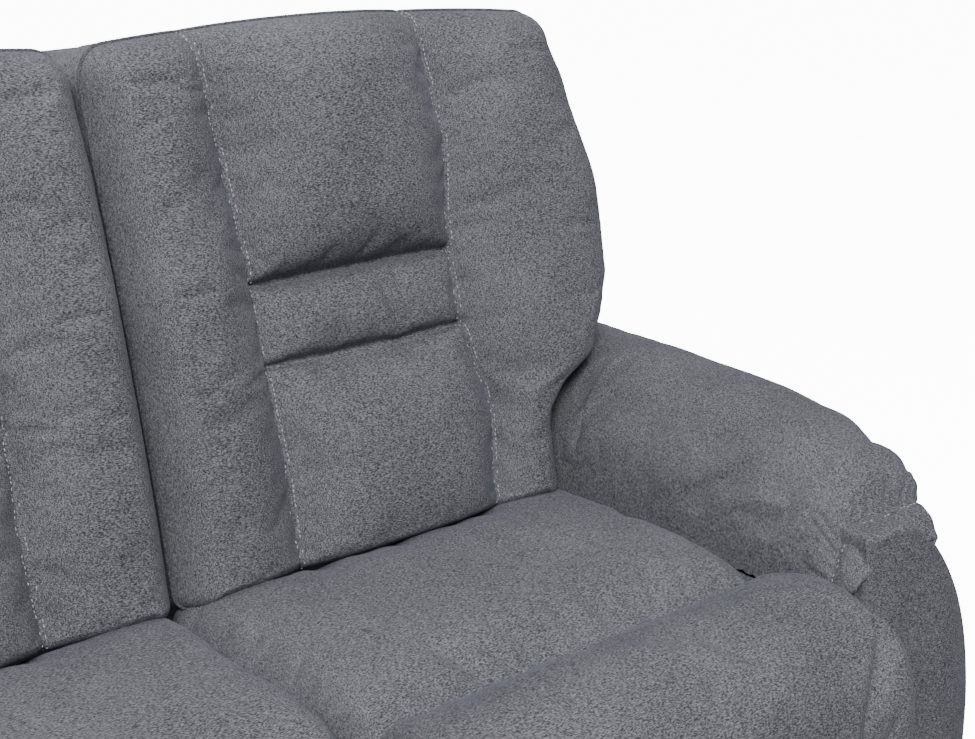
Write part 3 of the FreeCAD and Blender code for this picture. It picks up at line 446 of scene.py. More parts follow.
def timber_material(name, colour):
    """Sawn softwood and plywood: pale, with long darker growth lines along the board."""
    tree, shader, place = new_material(name)
    stretched = node(tree, "ShaderNodeMapping", i0=place, Scale=(4.0, 40.0, 40.0))
    grain = node(tree, "ShaderNodeTexNoise", Vector=stretched.outputs[0], Scale=2.5, Detail=5.0,
                 Roughness=0.6, Distortion=0.6)
    tint = ramp(tree, grain.outputs[0], [(0.35, colour4(colour, 0.55)), (0.5, colour4(colour, 0.9)),
                                         (0.7, colour4(colour, 1.1))])
    bump = node(tree, "ShaderNodeBump", Strength=0.2, Distance=0.0005, Height=grain.outputs[0])
    give_surface(tree, shader, tint, bump)
    shader.inputs["Roughness"].default_value = 0.65


def plastic_material(name, colour, roughness):
    """Injection-moulded plastic with a fine spark-eroded grain that breaks up its gloss."""
    tree, shader, place = new_material(name)
    grain = node(tree, "ShaderNodeTexNoise", Vector=place, Scale=900.0, Detail=2.0, Roughness=0.5)
    tint = ramp(tree, grain.outputs[0], [(0.3, colour4(colour, 0.85)), (0.7, colour4(colour, 1.15))])
    bump = node(tree, "ShaderNodeBump", Strength=0.2, Distance=0.0002, Height=grain.outputs[0])
    give_surface(tree, shader, tint, bump)
    shader.inputs["Roughness"].default_value = roughness


class SOFA_OT_materials(Operator):
    """Makes the cloth, thread, timber, steel and plastic"""
    bl_idname = "sofa.materials"
    bl_label = "Materials"

    def execute(self, context):
        palette = colours()
        cloth_material("upholstery_weave", palette.cloth, palette.cloth_dark)
        # The cord is the padding's own cloth at 0.7 of its brightness: painted shade of the seam it is sewn
        # into.
        cloth_material("upholstery_cord", palette.cloth, palette.cloth_dark, gain=0.7)
        plastic_material("topstitch", palette.thread, 0.6)
        timber_material("sawn_timber", palette.timber)
        metal_material("black_painted_steel", palette.black_steel, 0.45, 0.0, 300.0)
        metal_material("zinc_plated_steel", linear("a9abad"), 0.32, 1.0, 120.0)
        metal_material("spring_wire", linear("6d6f73"), 0.4, 1.0, 200.0)
        plastic_material("black_glide_plastic", linear("17181a"), 0.5)
        plastic_material("lever_plastic", linear("202124"), 0.42)
        metal_material("lever_metal", linear("8f9194"), 0.35, 1.0, 160.0)
        plastic_material("cable_sheath", linear("141516"), 0.5)
        return {"FINISHED"}


# Back: one continuous padded front for each seat, leaning on its frame

SIDE_EDGE_ROUND = 34.0
TOP_EDGE_ROUND = 44.0
FOOT_EDGE_ROUND = 15.0
EDGE_ROUND = 40.0
EDGE_ARC = EDGE_ROUND * math.pi / 2.0
EDGE_SEAM = 52.0
EDGE_STRAIGHT = 40.0
EDGE_TURN = 22.0
EDGE_TURN_RADIUS = 14.0
EDGE_TUCK = 18.0
EDGE_END = EDGE_ARC + EDGE_STRAIGHT + EDGE_TURN + EDGE_TUCK
FORWARD = 7.0
WING_FULL = 31.0
LUMBAR_LOW = 208.0
LUMBAR_HIGH = 291.0
BACK_LOW = -4.0
BACK_COLUMNS = (0.0, 100.0, 360.0, 480.0)
BACK_ROWS = (0.0, 160.0, 236.0, 440.0)


def back_place(x, up, depth):
    """Point of the back from its x, its distance up the lean and its depth behind the seam plane."""
    y = BACK_FRONT_Y + up * math.sin(BACK_LEAN) + depth * math.cos(BACK_LEAN)
    z = BACK_BASE_Z + up * math.cos(BACK_LEAN) - depth * math.sin(BACK_LEAN)
    return (x, y, z)


def back_inner_edge(up):
    return 4.0 + 2.5 * smooth(420.0, 531.0, up)


def back_outer_edge(up):
    return between(up, (6.0, 70.0, 92.0, 118.0, 160.0, 230.0, 330.0, 470.0, 531.0),
                   (490.0, 491.0, 496.0, 512.0, 566.0, 603.0, 607.0, 590.0, 568.0))


def back_top(x):
    return BACK_LENGTH + 9.0 + 13.0 * (1.0 - ((x - 258.0) / 262.0) ** 2)


def inner_seam(up):
    return between(up, (6.0, 110.0, 215.0, 291.0, 420.0, 531.0), (141.0, 143.0, 139.0, 138.0, 131.0, 123.0))


def outer_seam(up):
    return between(up, (6.0, 110.0, 215.0, 291.0, 410.0, 531.0), (399.0, 411.0, 393.0, 392.0, 406.0, 393.0))


def wrap_of(value, low, high):
    """Value held between its limits, and how far it goes beyond them."""
    held = min(high, max(low, value))
    return held, value - held


def edge_profile(wrap, radius):
    """How far out and how far back the cloth has gone when it has travelled wrap round the pad's edge."""
    angle = min(wrap, EDGE_ARC) / EDGE_ROUND
    out = radius * math.sin(angle)
    back = EDGE_ROUND * (1.0 - math.cos(angle))
    rest = wrap - EDGE_ARC
    if rest > 0.0:
        straight = min(rest, EDGE_STRAIGHT)
        back += straight
        out += 3.0 * math.sin(math.pi * straight / EDGE_STRAIGHT)
        rest -= straight
    if rest > 0.0:
        turn = min(rest, EDGE_TURN) / EDGE_TURN_RADIUS
        out -= 8.0 * (1.0 - math.cos(turn))
        back += EDGE_TURN_RADIUS * math.sin(turn)
        rest -= EDGE_TURN
    if rest > 0.0:
        out -= rest * 0.3
    return out, back


def valley(distance, depth, width):
    return depth * math.exp(-abs(distance) / width)


def back_front(x, up, seam_in, seam_out, left, right):
    """Depth of the padded front behind the seam plane, between the rounded edges."""
    top = back_top(x)
    # How far across its own panel the point lies, from -1 to 1
    if x < seam_in or x > seam_out:
        q = (seam_in - x) / (seam_in - left) if x < seam_in else (x - seam_out) / (right - seam_out)
        puff = WING_FULL * (1.0 - (1.0 - min(1.0, q / 0.75)) ** 2.4)
        puff *= 1.0 - 0.5 * smooth(0.55, 1.0, up / top) - 0.35 * (1.0 - smooth(0.0, 0.3, up / top))
    else:
        q = 2.0 * (x - seam_in) / (seam_out - seam_in) - 1.0
        side = 1.0 - abs(q) ** 3.0
        if up < LUMBAR_LOW:
            p = (LUMBAR_LOW - up) / (LUMBAR_LOW - BACK_LOW)
            rise = smooth(0.0, 0.42, p) * 24.0 - 4.0 * smooth(0.7, 1.0, p)
            puff = side * rise - 5.0 * side * (1.0 - smooth(0.0, 0.25, p))
        elif up < LUMBAR_HIGH:
            p = 2.0 * (up - LUMBAR_LOW) / (LUMBAR_HIGH - LUMBAR_LOW) - 1.0
            puff = side * 13.0 * math.sqrt(max(0.0, 1.0 - p * p)) - 5.0
        else:
            p = (up - LUMBAR_HIGH) / (top - LUMBAR_HIGH)
            puff = side * (30.0 * (1.0 - (1.0 - min(1.0, p / 0.3)) ** 2.4) - 6.0 * smooth(0.55, 1.0, p))
            puff -= 7.0 * (1.0 - smooth(0.0, 0.06, p)) * side
    depth = -puff - FORWARD
    depth += valley(x - seam_in, 8.0, 5.0) + valley(x - seam_out, 8.0, 5.0)
    inside = smooth(-6.0, 4.0, x - seam_in) * smooth(-6.0, 4.0, seam_out - x)
    depth += inside * (valley(up - LUMBAR_LOW, 15.0, 3.5) + valley(up - LUMBAR_HIGH, 19.0, 3.5))
    return depth


def back_wrinkles(x, up, seam_in, seam_out, wrap):
    """Small pulls of the cloth, strongest beside the seams."""
    near = min(abs(x - seam_in), abs(x - seam_out))
    pucker = math.exp(-near / 16.0) * wave((x / 3.0, up, 0.0), 13.0, 1.0)
    soft = wave((x, up, 0.0), 90.0, 2.0) * 2.2
    lumbar = 0.0
    if LUMBAR_LOW < up < LUMBAR_HIGH and seam_in < x < seam_out:
        middle = math.exp(-((x - 262.0) / 55.0) ** 2)
        lumbar = middle * wave((x + 0.25 * (up - 250.0), up / 5.0, 4.0), 15.0, 3.0) * 4.5
    edge = 0.0
    if wrap > 0.0:
        edge = math.exp(-abs(wrap - EDGE_SEAM) / 14.0) * wave((x, up, 0.0), 22.0, 4.0) * 2.4
    return pucker * 1.3 + soft + lumbar + edge


def back_point(column, row):
    flat_column, beyond_x = wrap_of(column, BACK_COLUMNS[0], BACK_COLUMNS[-1])
    flat_row, beyond_up = wrap_of(row, BACK_ROWS[0], BACK_ROWS[-1])
    wrap = max(abs(beyond_x), abs(beyond_up))
    low = BACK_LOW + FOOT_EDGE_ROUND
    # The seams need the row's height and the top's crown needs the x, so x comes first, from a flat top
    guess = between(flat_row, BACK_ROWS, (low, LUMBAR_LOW, LUMBAR_HIGH, BACK_LENGTH + 15.0 - TOP_EDGE_ROUND))
    seam_in = inner_seam(guess)
    seam_out = outer_seam(guess)
    left = back_inner_edge(guess)
    right = back_outer_edge(guess)
    x = between(flat_column, BACK_COLUMNS,
                (left + SIDE_EDGE_ROUND, seam_in, seam_out, right - SIDE_EDGE_ROUND), ease=0.0)
    high = back_top(x) - TOP_EDGE_ROUND
    up = between(flat_row, BACK_ROWS, (low, LUMBAR_LOW, LUMBAR_HIGH, high), ease=0.0)
    depth = back_front(x, up, seam_in, seam_out, left, right)
    depth -= back_wrinkles(x, up, seam_in, seam_out, wrap)
    if wrap > 0.0:
        a, b = abs(beyond_x), abs(beyond_up)
        angle = (math.pi / 4.0) * (b / a) if a >= b else math.pi / 2.0 - (math.pi / 4.0) * (a / b)
        end_round = TOP_EDGE_ROUND if beyond_up > 0.0 else FOOT_EDGE_ROUND
        radius = math.hypot(SIDE_EDGE_ROUND * math.cos(angle), end_round * math.sin(angle))
        out, back = edge_profile(wrap, radius)
        x += math.copysign(out * math.cos(angle), beyond_x) if a > 0.0 else 0.0
        up += math.copysign(out * math.sin(angle), beyond_up) if b > 0.0 else 0.0
        fade = 1.0 - smooth(0.0, EDGE_ARC + EDGE_STRAIGHT, wrap)
        seam = 3.0 * math.exp(-abs(wrap - EDGE_SEAM) / 5.0)
        depth = depth * fade + back + seam
    return back_place(x, up, depth)


def wrapped_lines(stops, step, edge_stops, edge_step):
    """Lines over a padded face and round its two edges."""
    middle = spaced(list(stops), step)
    edge = spaced([0.0] + list(edge_stops), edge_step, 0.2)[1:]
    return [stops[0] - e for e in reversed(edge)] + middle + [stops[-1] + e for e in edge]


class SOFA_OT_backs(Operator):
    """Makes the padded fronts of the two backs, with their seams, cord and topstitching"""
    bl_idname = "sofa.backs"
    bl_label = "Backs"

    def execute(self, context):
        edges = (EDGE_SEAM, EDGE_ARC + EDGE_STRAIGHT, EDGE_END)
        columns = wrapped_lines(BACK_COLUMNS, 5.6, edges, 6.5)
        rows = wrapped_lines(BACK_ROWS, 5.6, edges, 6.5)
        piece = cloth_form("back_padding_r", columns, rows, back_point, "back_r")
        seams = [columns.index(BACK_COLUMNS[1]), columns.index(BACK_COLUMNS[2])]
        first_seam, last_seam = seams
        cross = [rows.index(BACK_ROWS[1]), rows.index(BACK_ROWS[2])]

        def held(i, j):
            wrap = max(-columns[i], columns[i] - BACK_COLUMNS[-1], -rows[j], rows[j] - BACK_ROWS[-1])
            if i in seams and wrap < EDGE_SEAM or j in cross and first_seam <= i <= last_seam:
                return 1.0
            return 0.5 + 0.5 * min(1.0, wrap / EDGE_SEAM) if wrap > 0.0 else 0.0

        fill_out(piece, held, growth=0.022, reach=0.009)
        refine(piece)
        seam_column = columns.index(BACK_COLUMNS[0] - EDGE_SEAM), columns.index(BACK_COLUMNS[-1] + EDGE_SEAM)
        seam_row = rows.index(BACK_ROWS[0] - EDGE_SEAM), rows.index(BACK_ROWS[-1] + EDGE_SEAM)

        def rim(i, j):
            if i == seam_column[0] and seam_row[0] <= j <= seam_row[1]:
                return j
            if j == seam_row[1] and seam_column[0] <= i <= seam_column[1]:
                return 10000 + i
            if i == seam_column[1] and seam_row[0] <= j <= seam_row[1]:
                return 30000 - j
            return None

        low_row = rows.index(BACK_ROWS[0])
        lines = [line_of(piece, lambda i, j, s=s: j if i == s and low_row - 4 <= j < seam_row[1] else None)
                 for s in seams]
        offset = sizes().stitch_offset
        stitches = topstitch("back_stitching_r", piece, lines, (-offset, offset), "back_r")
        cord = cord_along("back_piping_r", line_of(piece, rim), sizes().piping, "back_r")
        both_sides(piece, [stitches, cord], "back",
                   ("headrest", "lumbar_roll", "lower_back", "wing_inner", "wing_outer"))
        return {"FINISHED"}


# Seat cushions

SIDE_ROUND = 26.0
SIDE_ARC = SIDE_ROUND * math.pi / 2.0
SIDE_END = SIDE_ARC + 40.0
SEAT_LEFT = 3.0
SEAT_RIGHT = 503.0
SEAT_SPAN = 440.0


def smooth_path(points, step):
    """Dense rounded line through (y, z) points, with a mark kept at each given point."""
    path = [Vector((p[0], p[1])) for p in points]
    dense = []
    marks = []
    for i in range(len(path) - 1):
        before = path[i - 1] if i > 0 else path[0] * 2.0 - path[1]
        after = path[i + 2] if i + 2 < len(path) else path[-1] * 2.0 - path[-2]
        a, b = path[i], path[i + 1]
        count = max(2, round((b - a).length / step))
        marks.append(len(dense))
        for k in range(count):
            t = k / count
            t2, t3 = t * t, t * t * t
            dense.append(0.5 * ((2.0 * a) + (b - before) * t + (2.0 * before - 5.0 * a + 4.0 * b - after) * t2
                                + (3.0 * a - before - 3.0 * b + after) * t3))
    marks.append(len(dense))
    dense.append(path[-1])
    return dense, marks


SEAT_PATH = (
    (94.0, 345.0), (95.0, 380.0), (95.0, 430.0), (93.0, 470.0), (66.0, 491.0), (-20.0, 499.0),
    (-120.0, 500.0), (-200.0, 496.0), (-244.0, 485.0), (-268.0, 501.0), (-310.0, 514.0), (-350.0, 515.0),
    (-390.0, 502.0), (-422.0, 474.0), (-437.0, 430.0), (-439.0, 380.0), (-436.0, 335.0), (-424.0, 308.0),
    (-405.0, 301.0), (-388.0, 306.0), (-384.0, 330.0), (-370.0, 343.0), (-200.0, 343.0), (0.0, 343.0),
    (88.0, 343.0))
SEAT_SEAM_MARK = 8


class SOFA_OT_seats(Operator):
    """Makes the two seat cushions, each with its sewn cross seam and puffed front roll"""
    bl_idname = "sofa.seats"
    bl_label = "Seat cushions"

    def execute(self, context):
        dense, marks = smooth_path(SEAT_PATH, 6.0)
        seam = marks[SEAT_SEAM_MARK]
        rows = list(range(len(dense)))
        columns = wrapped_lines((0.0, SEAT_SPAN), 6.5, (SIDE_ARC, SIDE_END), 6.5)

        def place(column, row):
            flat, beyond = wrap_of(column, 0.0, SEAT_SPAN)
            x = between(flat, (0.0, SEAT_SPAN), (SEAT_LEFT + SIDE_ROUND, SEAT_RIGHT - SIDE_ROUND), ease=0.0)
            q = (x - 253.0) / 250.0
            here = dense[row]
            before = dense[max(0, row - 1)]
            after = dense[min(len(dense) - 1, row + 1)]
            along = (after - before).normalized()
            normal = Vector((along[1], -along[0]))
            lift = 0.0
            if marks[4] <= row <= marks[16]:
                part = smooth(marks[4], marks[5], row) * (1.0 - smooth(marks[15], marks[16], row))
                lift = part * (6.0 * (1.0 - q * q) + 2.0 * wave((x, here[0], here[1]), 80.0, 5.0))
                from_seam = abs(row - seam) * 6.0
                pull = wave((x + 0.8 * here[0], (here[0] - 0.8 * x) / 4.0, here[1]), 22.0, 6.0)
                lift += part * pull * 2.4 * math.exp(-abs(from_seam - 18.0) / 26.0)
                lift -= valley(from_seam, 8.0, 4.0)
            drop = 0.0
            if abs(beyond) > 0.0:
                wrap = abs(beyond)
                angle = min(wrap, SIDE_ARC) / SIDE_ROUND
                drop = SIDE_ROUND * (1.0 - math.cos(angle)) + max(0.0, wrap - SIDE_ARC)
                x += math.copysign(SIDE_ROUND * math.sin(angle), beyond)
                lift *= 1.0 - smooth(0.0, SIDE_ARC, wrap)
                x += math.copysign(2.0 * smooth(SIDE_ARC, SIDE_END, wrap), -beyond)
            shift = normal * (lift - drop)
            y, z = here[0] + shift[0], here[1] + shift[1]
            # The front roll is a little wider than the seat, because it stands in front of the arm
            x += 19.0 * smooth(0.75, 1.0, q) * smooth(384.0, 402.0, -y)
            if drop > 0.0:
                y = min(92.0 - drop * 0.5, max(-438.0 + drop * 0.5, y))
            return (x, y, z)

        piece = cloth_form("seat_padding_r", columns, rows, place, "carriage_r", welded=True)

        def held(i, j):
            wrap = max(-columns[i], columns[i] - SEAT_SPAN)
            return 1.0 if j == seam or wrap > SIDE_ARC - 0.01 or j < marks[3] or j > marks[16] else 0.0

        fill_out(piece, held, growth=0.03, reach=0.012)
        refine(piece)
        both_sides(piece, [], "carriage", ("seat_cushion",))
        return {"FINISHED"}


# Arm pads

PAD_STATIONS = (-358.0, -340.0, -322.0, -300.0, -270.0, -200.0, -120.0, 50.0, 190.0, 330.0, 400.0)
PAD_SHAPES = {
    # Height and place of the ridge
    "ridge_z": (534.0, 552.0, 563.0, 584.0, 602.0, 620.0, 629.0, 632.0, 630.0, 625.0, 618.0),
    "ridge_x": (606.0, 608.0, 608.0, 606.0, 604.0, 606.0, 608.0, 614.0, 624.0, 626.0, 626.0),
    # Upper end of the inner drape
    "inner_z": (524.0, 542.0, 552.0, 568.0, 582.0, 602.0, 612.0, 612.0, 580.0, 572.0, 566.0),
    "inner_x": (540.0, 541.0, 541.0, 540.0, 542.0, 546.0, 548.0, 550.0, 556.0, 556.0, 556.0),
    # Fullest place of the outer side
    "outer_x": (634.0, 642.0, 650.0, 670.0, 687.0, 699.0, 700.0, 698.0, 696.0, 692.0, 688.0),
    "outer_z": (526.0, 540.0, 548.0, 554.0, 558.0, 564.0, 568.0, 574.0, 580.0, 574.0, 566.0),
    "hem_x": (621.0, 627.0, 635.0, 652.0, 666.0, 674.0, 674.0, 672.0, 670.0, 668.0, 664.0),
    "hem_z": (521.0, 525.0, 526.0, 520.0, 511.0, 504.0, 502.0, 502.0, 502.0, 502.0, 502.0),
    "foot_z": (509.0, 494.0, 484.0, 480.0, 479.0, 479.0, 479.0, 479.0, 479.0, 479.0, 479.0),
}


def pad_ring(y):
    """Dense closed section of the arm pad at y, from its foot on the inside over the ridge to its hem."""
    v = {name: between(y, PAD_STATIONS, shape) for name, shape in PAD_SHAPES.items()}
    outer_top_x = (v["outer_x"] + v["ridge_x"]) / 2.0 + 16.0
    outer_top_z = v["ridge_z"] - (v["ridge_z"] - v["outer_z"]) * 0.22
    foot_x = ARM_INNER_X + 1.0
    points = [
        (foot_x, v["foot_z"]),
        (foot_x + 1.0, v["foot_z"] + (v["inner_z"] - v["foot_z"]) * 0.34),
        (foot_x + (v["inner_x"] - foot_x) * 0.42, v["foot_z"] + (v["inner_z"] - v["foot_z"]) * 0.76),
        (v["inner_x"], v["inner_z"] + (v["ridge_z"] - v["inner_z"]) * 0.42),
        ((v["inner_x"] + v["ridge_x"]) / 2.0 - 2.0, v["inner_z"] + (v["ridge_z"] - v["inner_z"]) * 0.88),
        (v["ridge_x"], v["ridge_z"]),
        (outer_top_x, outer_top_z),
        (v["outer_x"], v["outer_z"]),
        (v["outer_x"] - 4.0, (v["outer_z"] + v["hem_z"]) / 2.0 - 6.0),
        (v["hem_x"], v["hem_z"]),
    ]
    return smooth_path(points, 4.0)


PAD_COLUMNS = 96
PAD_GATHER_Y = -322.0
PAD_LIP_Y = -358.0
# Rows that turn the cuff's free edge back under itself: how far inside the cloth each lies, and at which y
PAD_UNDER = {-1000.0: (3.5, -357.0), -2000.0: (5.0, -350.0), -3000.0: (6.5, -335.0)}


def even_ring(dense, count):
    """Points at even steps along a dense line."""
    lengths = [0.0]
    for a, b in zip(dense, dense[1:]):
        lengths.append(lengths[-1] + (b - a).length)
    out = []
    k = 0
    for i in range(count + 1):
        target = lengths[-1] * i / count
        while k < len(lengths) - 2 and lengths[k + 1] < target:
            k += 1
        span = lengths[k + 1] - lengths[k]
        out.append(dense[k].lerp(dense[k + 1], (target - lengths[k]) / span if span > 0.0 else 0.0))
    return out


class SOFA_OT_arm_pads(Operator):
    """Makes the two arm pads, draped over the arms and gathered at the front into a cuff"""
    bl_idname = "sofa.arm_pads"
    bl_label = "Arm pads"

    def execute(self, context):
        rows = sorted(PAD_UNDER) + spaced([PAD_LIP_Y, PAD_GATHER_Y, -250.0, 50.0, 399.0], 5.5, 0.3)
        sections = {y: even_ring(pad_ring(max(y, PAD_LIP_Y))[0], PAD_COLUMNS) for y in rows}
        columns = list(range(PAD_COLUMNS + 1))

        def place(column, y):
            here = sections[y][column]
            before = sections[y][max(0, column - 1)]
            after = sections[y][min(PAD_COLUMNS, column + 1)]
            along = (after - before).normalized()
            normal = Vector((-along[1], along[0]))
            across = column / PAD_COLUMNS
            free = smooth(0.05, 0.16, across) * (1.0 - smooth(0.88, 0.97, across))
            if y < PAD_LIP_Y:
                inset, under_y = PAD_UNDER[y]
                spot = here - normal * inset
                return (spot[0], under_y + free * 1.5 * wave((column * 2.0, 0.0, 0.0), 16.0, 13.0), spot[1])
            behind = max(0.0, y - PAD_GATHER_Y)
            # Pleats run away from the gathered seam and die out at uneven lengths
            spread = 1.0 + behind / 260.0
            length = 34.0 + 26.0 * (0.5 + wave((column * 3.0, 0.0, 0.0), 17.0, 7.0))
            fold = 1.0 - abs(wave((column * 3.4 / spread, y / 26.0, 1.0), 13.0, 8.0)) * 2.2
            pleat = -6.0 * max(0.0, fold) ** 3.0
            bulge = 3.0 * smooth(0.0, 22.0, behind)
            lift = free * (pleat * math.exp(-(behind / length) ** 1.3) * smooth(0.0, 5.0, behind) + bulge)
            if y < PAD_GATHER_Y:
                lift += free * wave((column * 3.0, y / 6.0, 3.0), 40.0, 9.0) * 1.5
                lift += free * 3.0 * math.sin(math.pi * smooth(PAD_LIP_Y, PAD_GATHER_Y, y))
            lift -= free * valley(y - PAD_GATHER_Y, 5.0, 3.5)
            lift += free * 2.0 * wave((here[0], y, here[1]), 90.0, 10.0)
            spot = here + normal * lift
            return (spot[0], y, spot[1])

        piece = cloth_form("arm_pad_padding_r", columns, rows, place, "base")
        gather_row = rows.index(PAD_GATHER_Y)

        def held(i, j):
            edge = i <= 10 or i >= PAD_COLUMNS - 6 or j >= len(rows) - 2
            return 1.0 if edge or j <= 4 or j == gather_row else 0.0

        fill_out(piece, held, growth=0.02, reach=0.006, pressure=2.5)
        refine(piece)
        line = line_of(piece, lambda i, j: i if j == gather_row and 8 <= i <= PAD_COLUMNS - 6 else None)
        stitches = topstitch("arm_stitching_r", piece, [line], (sizes().stitch_offset,), "base")
        both_sides(piece, [stitches], "base", ("arm_pad",))
        return {"FINISHED"}


# Arm covers

ARM_OUTLINE = (
    (528.0, 478.0), (528.0, 520.0), (529.0, 552.0), (536.0, 559.0), (560.0, 559.5), (590.0, 558.0),
    (624.0, 538.0), (655.0, 506.0), (684.0, 460.0), (704.0, 408.0), (716.0, 352.0), (720.5, 300.0),
    (721.0, 200.0), (719.0, 100.0), (714.0, 60.0), (702.0, 47.0), (680.0, 45.5), (610.0, 45.5),
    (540.0, 45.5), (515.0, 47.0), (508.8, 60.0), (508.5, 120.0), (508.5, 250.0), (508.5, 380.0),
    (508.8, 465.0), (512.0, 476.0), (520.0, 478.0))
ARM_EDGE_ROUND = 12.0


class SOFA_OT_arm_covers(Operator):
    """Makes the tight cloth covers of the two arms, padded at the front"""
    bl_idname = "sofa.arm_covers"
    bl_label = "Arm covers"

    def execute(self, context):
        dense = smooth_path(ARM_OUTLINE + ARM_OUTLINE[:1], 9.0)[0]
        count = len(dense) - 1
        depths = spaced([ARM_FRONT_Y + ARM_EDGE_ROUND - 9.0, ARM_REAR_Y - ARM_EDGE_ROUND], 24.0, 0.3)
        edge = [0.25, 0.5, 0.75, 1.0]
        panel = [1.04, 1.1, 1.18, 1.28, 1.4, 1.52]
        rows = [-p for p in reversed(edge + panel)] + depths + [1000.0 + p for p in edge + panel]

        def place(column, row):
            here = dense[column % count]
            before = dense[(column - 1) % count]
            after = dense[(column + 1) % count]
            along = (after - before).normalized()
            normal = Vector((-along[1], along[0]))
            front = -2.0 < row < 0.0
            rear = row > 999.0
            if not front and not rear:
                lift = 1.6 * wave((here[0], row, here[1]), 140.0, 11.0) - 1.2
                return (here[0] + normal[0] * lift, row, here[1] + normal[1] * lift)
            step = -row if front else row - 1000.0
            angle = min(step, 1.0) * math.pi / 2.0
            inset = ARM_EDGE_ROUND * (1.0 - math.cos(angle)) * 0.75
            out = ARM_EDGE_ROUND * math.sin(angle) - ARM_EDGE_ROUND
            spot = here - normal * inset
            if step > 1.0:
                share = (step - 1.0) / 0.84
                middle = Vector((612.0, min(470.0, max(110.0, spot[1]))))
                spot = spot.lerp(middle, share)
                low = 1.0 - smooth(380.0, 520.0, spot[1])
                out += (3.0 + 8.0 * low) * (1.0 - (1.0 - share / 0.62) ** 2.0) - 2.5 * math.exp(-share / 0.05)
                out += 1.5 * wave((spot[0], 0.0, spot[1]), 120.0, 12.0)
            y = ARM_FRONT_Y - 5.0 - out if front else ARM_REAR_Y + 0.3 * out
            return (spot[0], y, spot[1])

        columns = list(range(count + 1))
        piece = refine(cloth_form("arm_cover_cloth_r", columns, rows, place, "base", welded=True))
        both_sides(piece, [], "base", ("arm_cover",))
        return {"FINISHED"}


# Back covers and footrest pads: closed padded forms with one section from side to side


def padded_loft(name, path, left, right, radius, tuck, relief, body):
    """Padded form along a closed (y, z) path, rounded at both sides; relief(x, y, z) lifts its surface."""
    dense = smooth_path(path + path[:1], 8.0)[0]
    count = len(dense) - 1
    arc = radius * math.pi / 2.0
    width = right - left - 2.0 * radius
    columns = wrapped_lines((0.0, width), 12.0, (arc, arc + tuck), 5.0)

    def place(column, row):
        flat, beyond = wrap_of(column, 0.0, width)
        here = dense[row % count]
        along = (dense[(row + 1) % count] - dense[(row - 1) % count]).normalized()
        normal = Vector((along[1], -along[0]))
        wrap = abs(beyond)
        angle = min(wrap, arc) / radius
        drop = radius * (1.0 - math.cos(angle)) + max(0.0, wrap - arc)
        x = left + radius + flat + math.copysign(radius * math.sin(angle), beyond)
        shift = normal * (relief(x, here[0], here[1]) * (1.0 - smooth(0.0, arc, wrap)) - drop)
        return (x, here[0] + shift[0], here[1] + shift[1])

    return refine(cloth_form(name, columns, list(range(count + 1)), place, body, welded=True)), columns


COVER_FRONT_DEPTH = 100.5
COVER_FRONT_UPS = (524.0, 470.0, 380.0, 280.0, 180.0, 90.0, 30.0, 8.0)
COVER_STITCHED_ROWS = 112
COVER_REAR_PATH = (
    (334.0, 306.0), (343.0, 340.0), (362.0, 460.0), (384.0, 580.0), (406.0, 700.0), (425.0, 820.0),
    (436.0, 905.0), (430.0, 945.0), (404.0, 978.0), (365.0, 993.0), (320.0, 996.0))


def rear_cover_path():
    """Side outline of the cover: up the rear, over the top, down behind the padding, back along the foot."""
    front = [back_place(0.0, up, COVER_FRONT_DEPTH)[1:] for up in COVER_FRONT_UPS]
    return COVER_REAR_PATH + tuple(front) + ((318.0, 312.0),)


FOOTREST_PATH = (
    (-402.0, 78.0), (-401.0, 180.0), (-402.0, 283.0), (-410.0, 297.0), (-425.0, 296.0), (-437.0, 283.0),
    (-441.0, 240.0), (-442.0, 177.0), (-441.0, 120.0), (-437.0, 82.0), (-426.0, 67.0), (-411.0, 64.0))


class SOFA_OT_back_covers(Operator):
    """Makes the cloth covers behind the two backs"""
    bl_idname = "sofa.back_covers"
    bl_label = "Back covers"

    def execute(self, context):
        def relief(x, y, z):
            middle = 1.0 - ((x - 253.0) / 250.0) ** 2
            return 4.0 * middle * smooth(330.0, 520.0, z) + 1.5 * wave((x, y, z), 120.0, 21.0) - 2.0

        piece, columns = padded_loft("back_cover_cloth_r", rear_cover_path(), 5.0, 501.0, 12.0, 8.0, relief,
                                     "back_r")
        low, high = columns.index(0.0), len(columns) - 1 - columns.index(0.0)
        last = COVER_STITCHED_ROWS
        seams = [line_of(piece, lambda i, j, c=c: j if i == c and j < last else None) for c in (low, high)]
        stitches = topstitch("back_cover_stitching_r", piece, seams, (0.0,), "back_r")
        both_sides(piece, [stitches], "back", ("back_cover",))
        return {"FINISHED"}


class SOFA_OT_footrests(Operator):
    """Makes the two padded footrests that hang under the seats when shut"""
    bl_idname = "sofa.footrests"
    bl_label = "Footrests"

    def execute(self, context):
        def relief(x, y, z):
            middle = 1.0 - ((x - 253.0) / 250.0) ** 4
            front = smooth(-410.0, -436.0, y)
            return front * (4.0 * middle + 2.0 * wave((x, y, z), 70.0, 22.0))

        piece = padded_loft("footrest_padding_r", FOOTREST_PATH, 4.0, 502.0, 14.0, 2.0, relief,
                            "footrest_r")[0]
        both_sides(piece, [], "footrest", ("footrest_pad",))
        return {"FINISHED"}


# CAD nodes that keep their shape

FINISHES = {
    "sawn_timber": ("front_rail", "rear_rail", "arm_frame", "back_frame", "footrest_board"),
    "black_painted_steel": ("mechanism_rails", "side_plates", "seat_frame", "rear_links", "front_links",
                            "control_links", "panel_links", "drive_tube", "footrest_brackets", "trip_arm"),
    "zinc_plated_steel": ("rail_bolts", "shoulder_pins"),
    "spring_wire": ("seat_springs",),
    "black_glide_plastic": ("glides",),
    "lever_plastic": ("lever_plate",),
    "lever_metal": ("release_lever",),
    "cable_sheath": ("release_cable",),
}


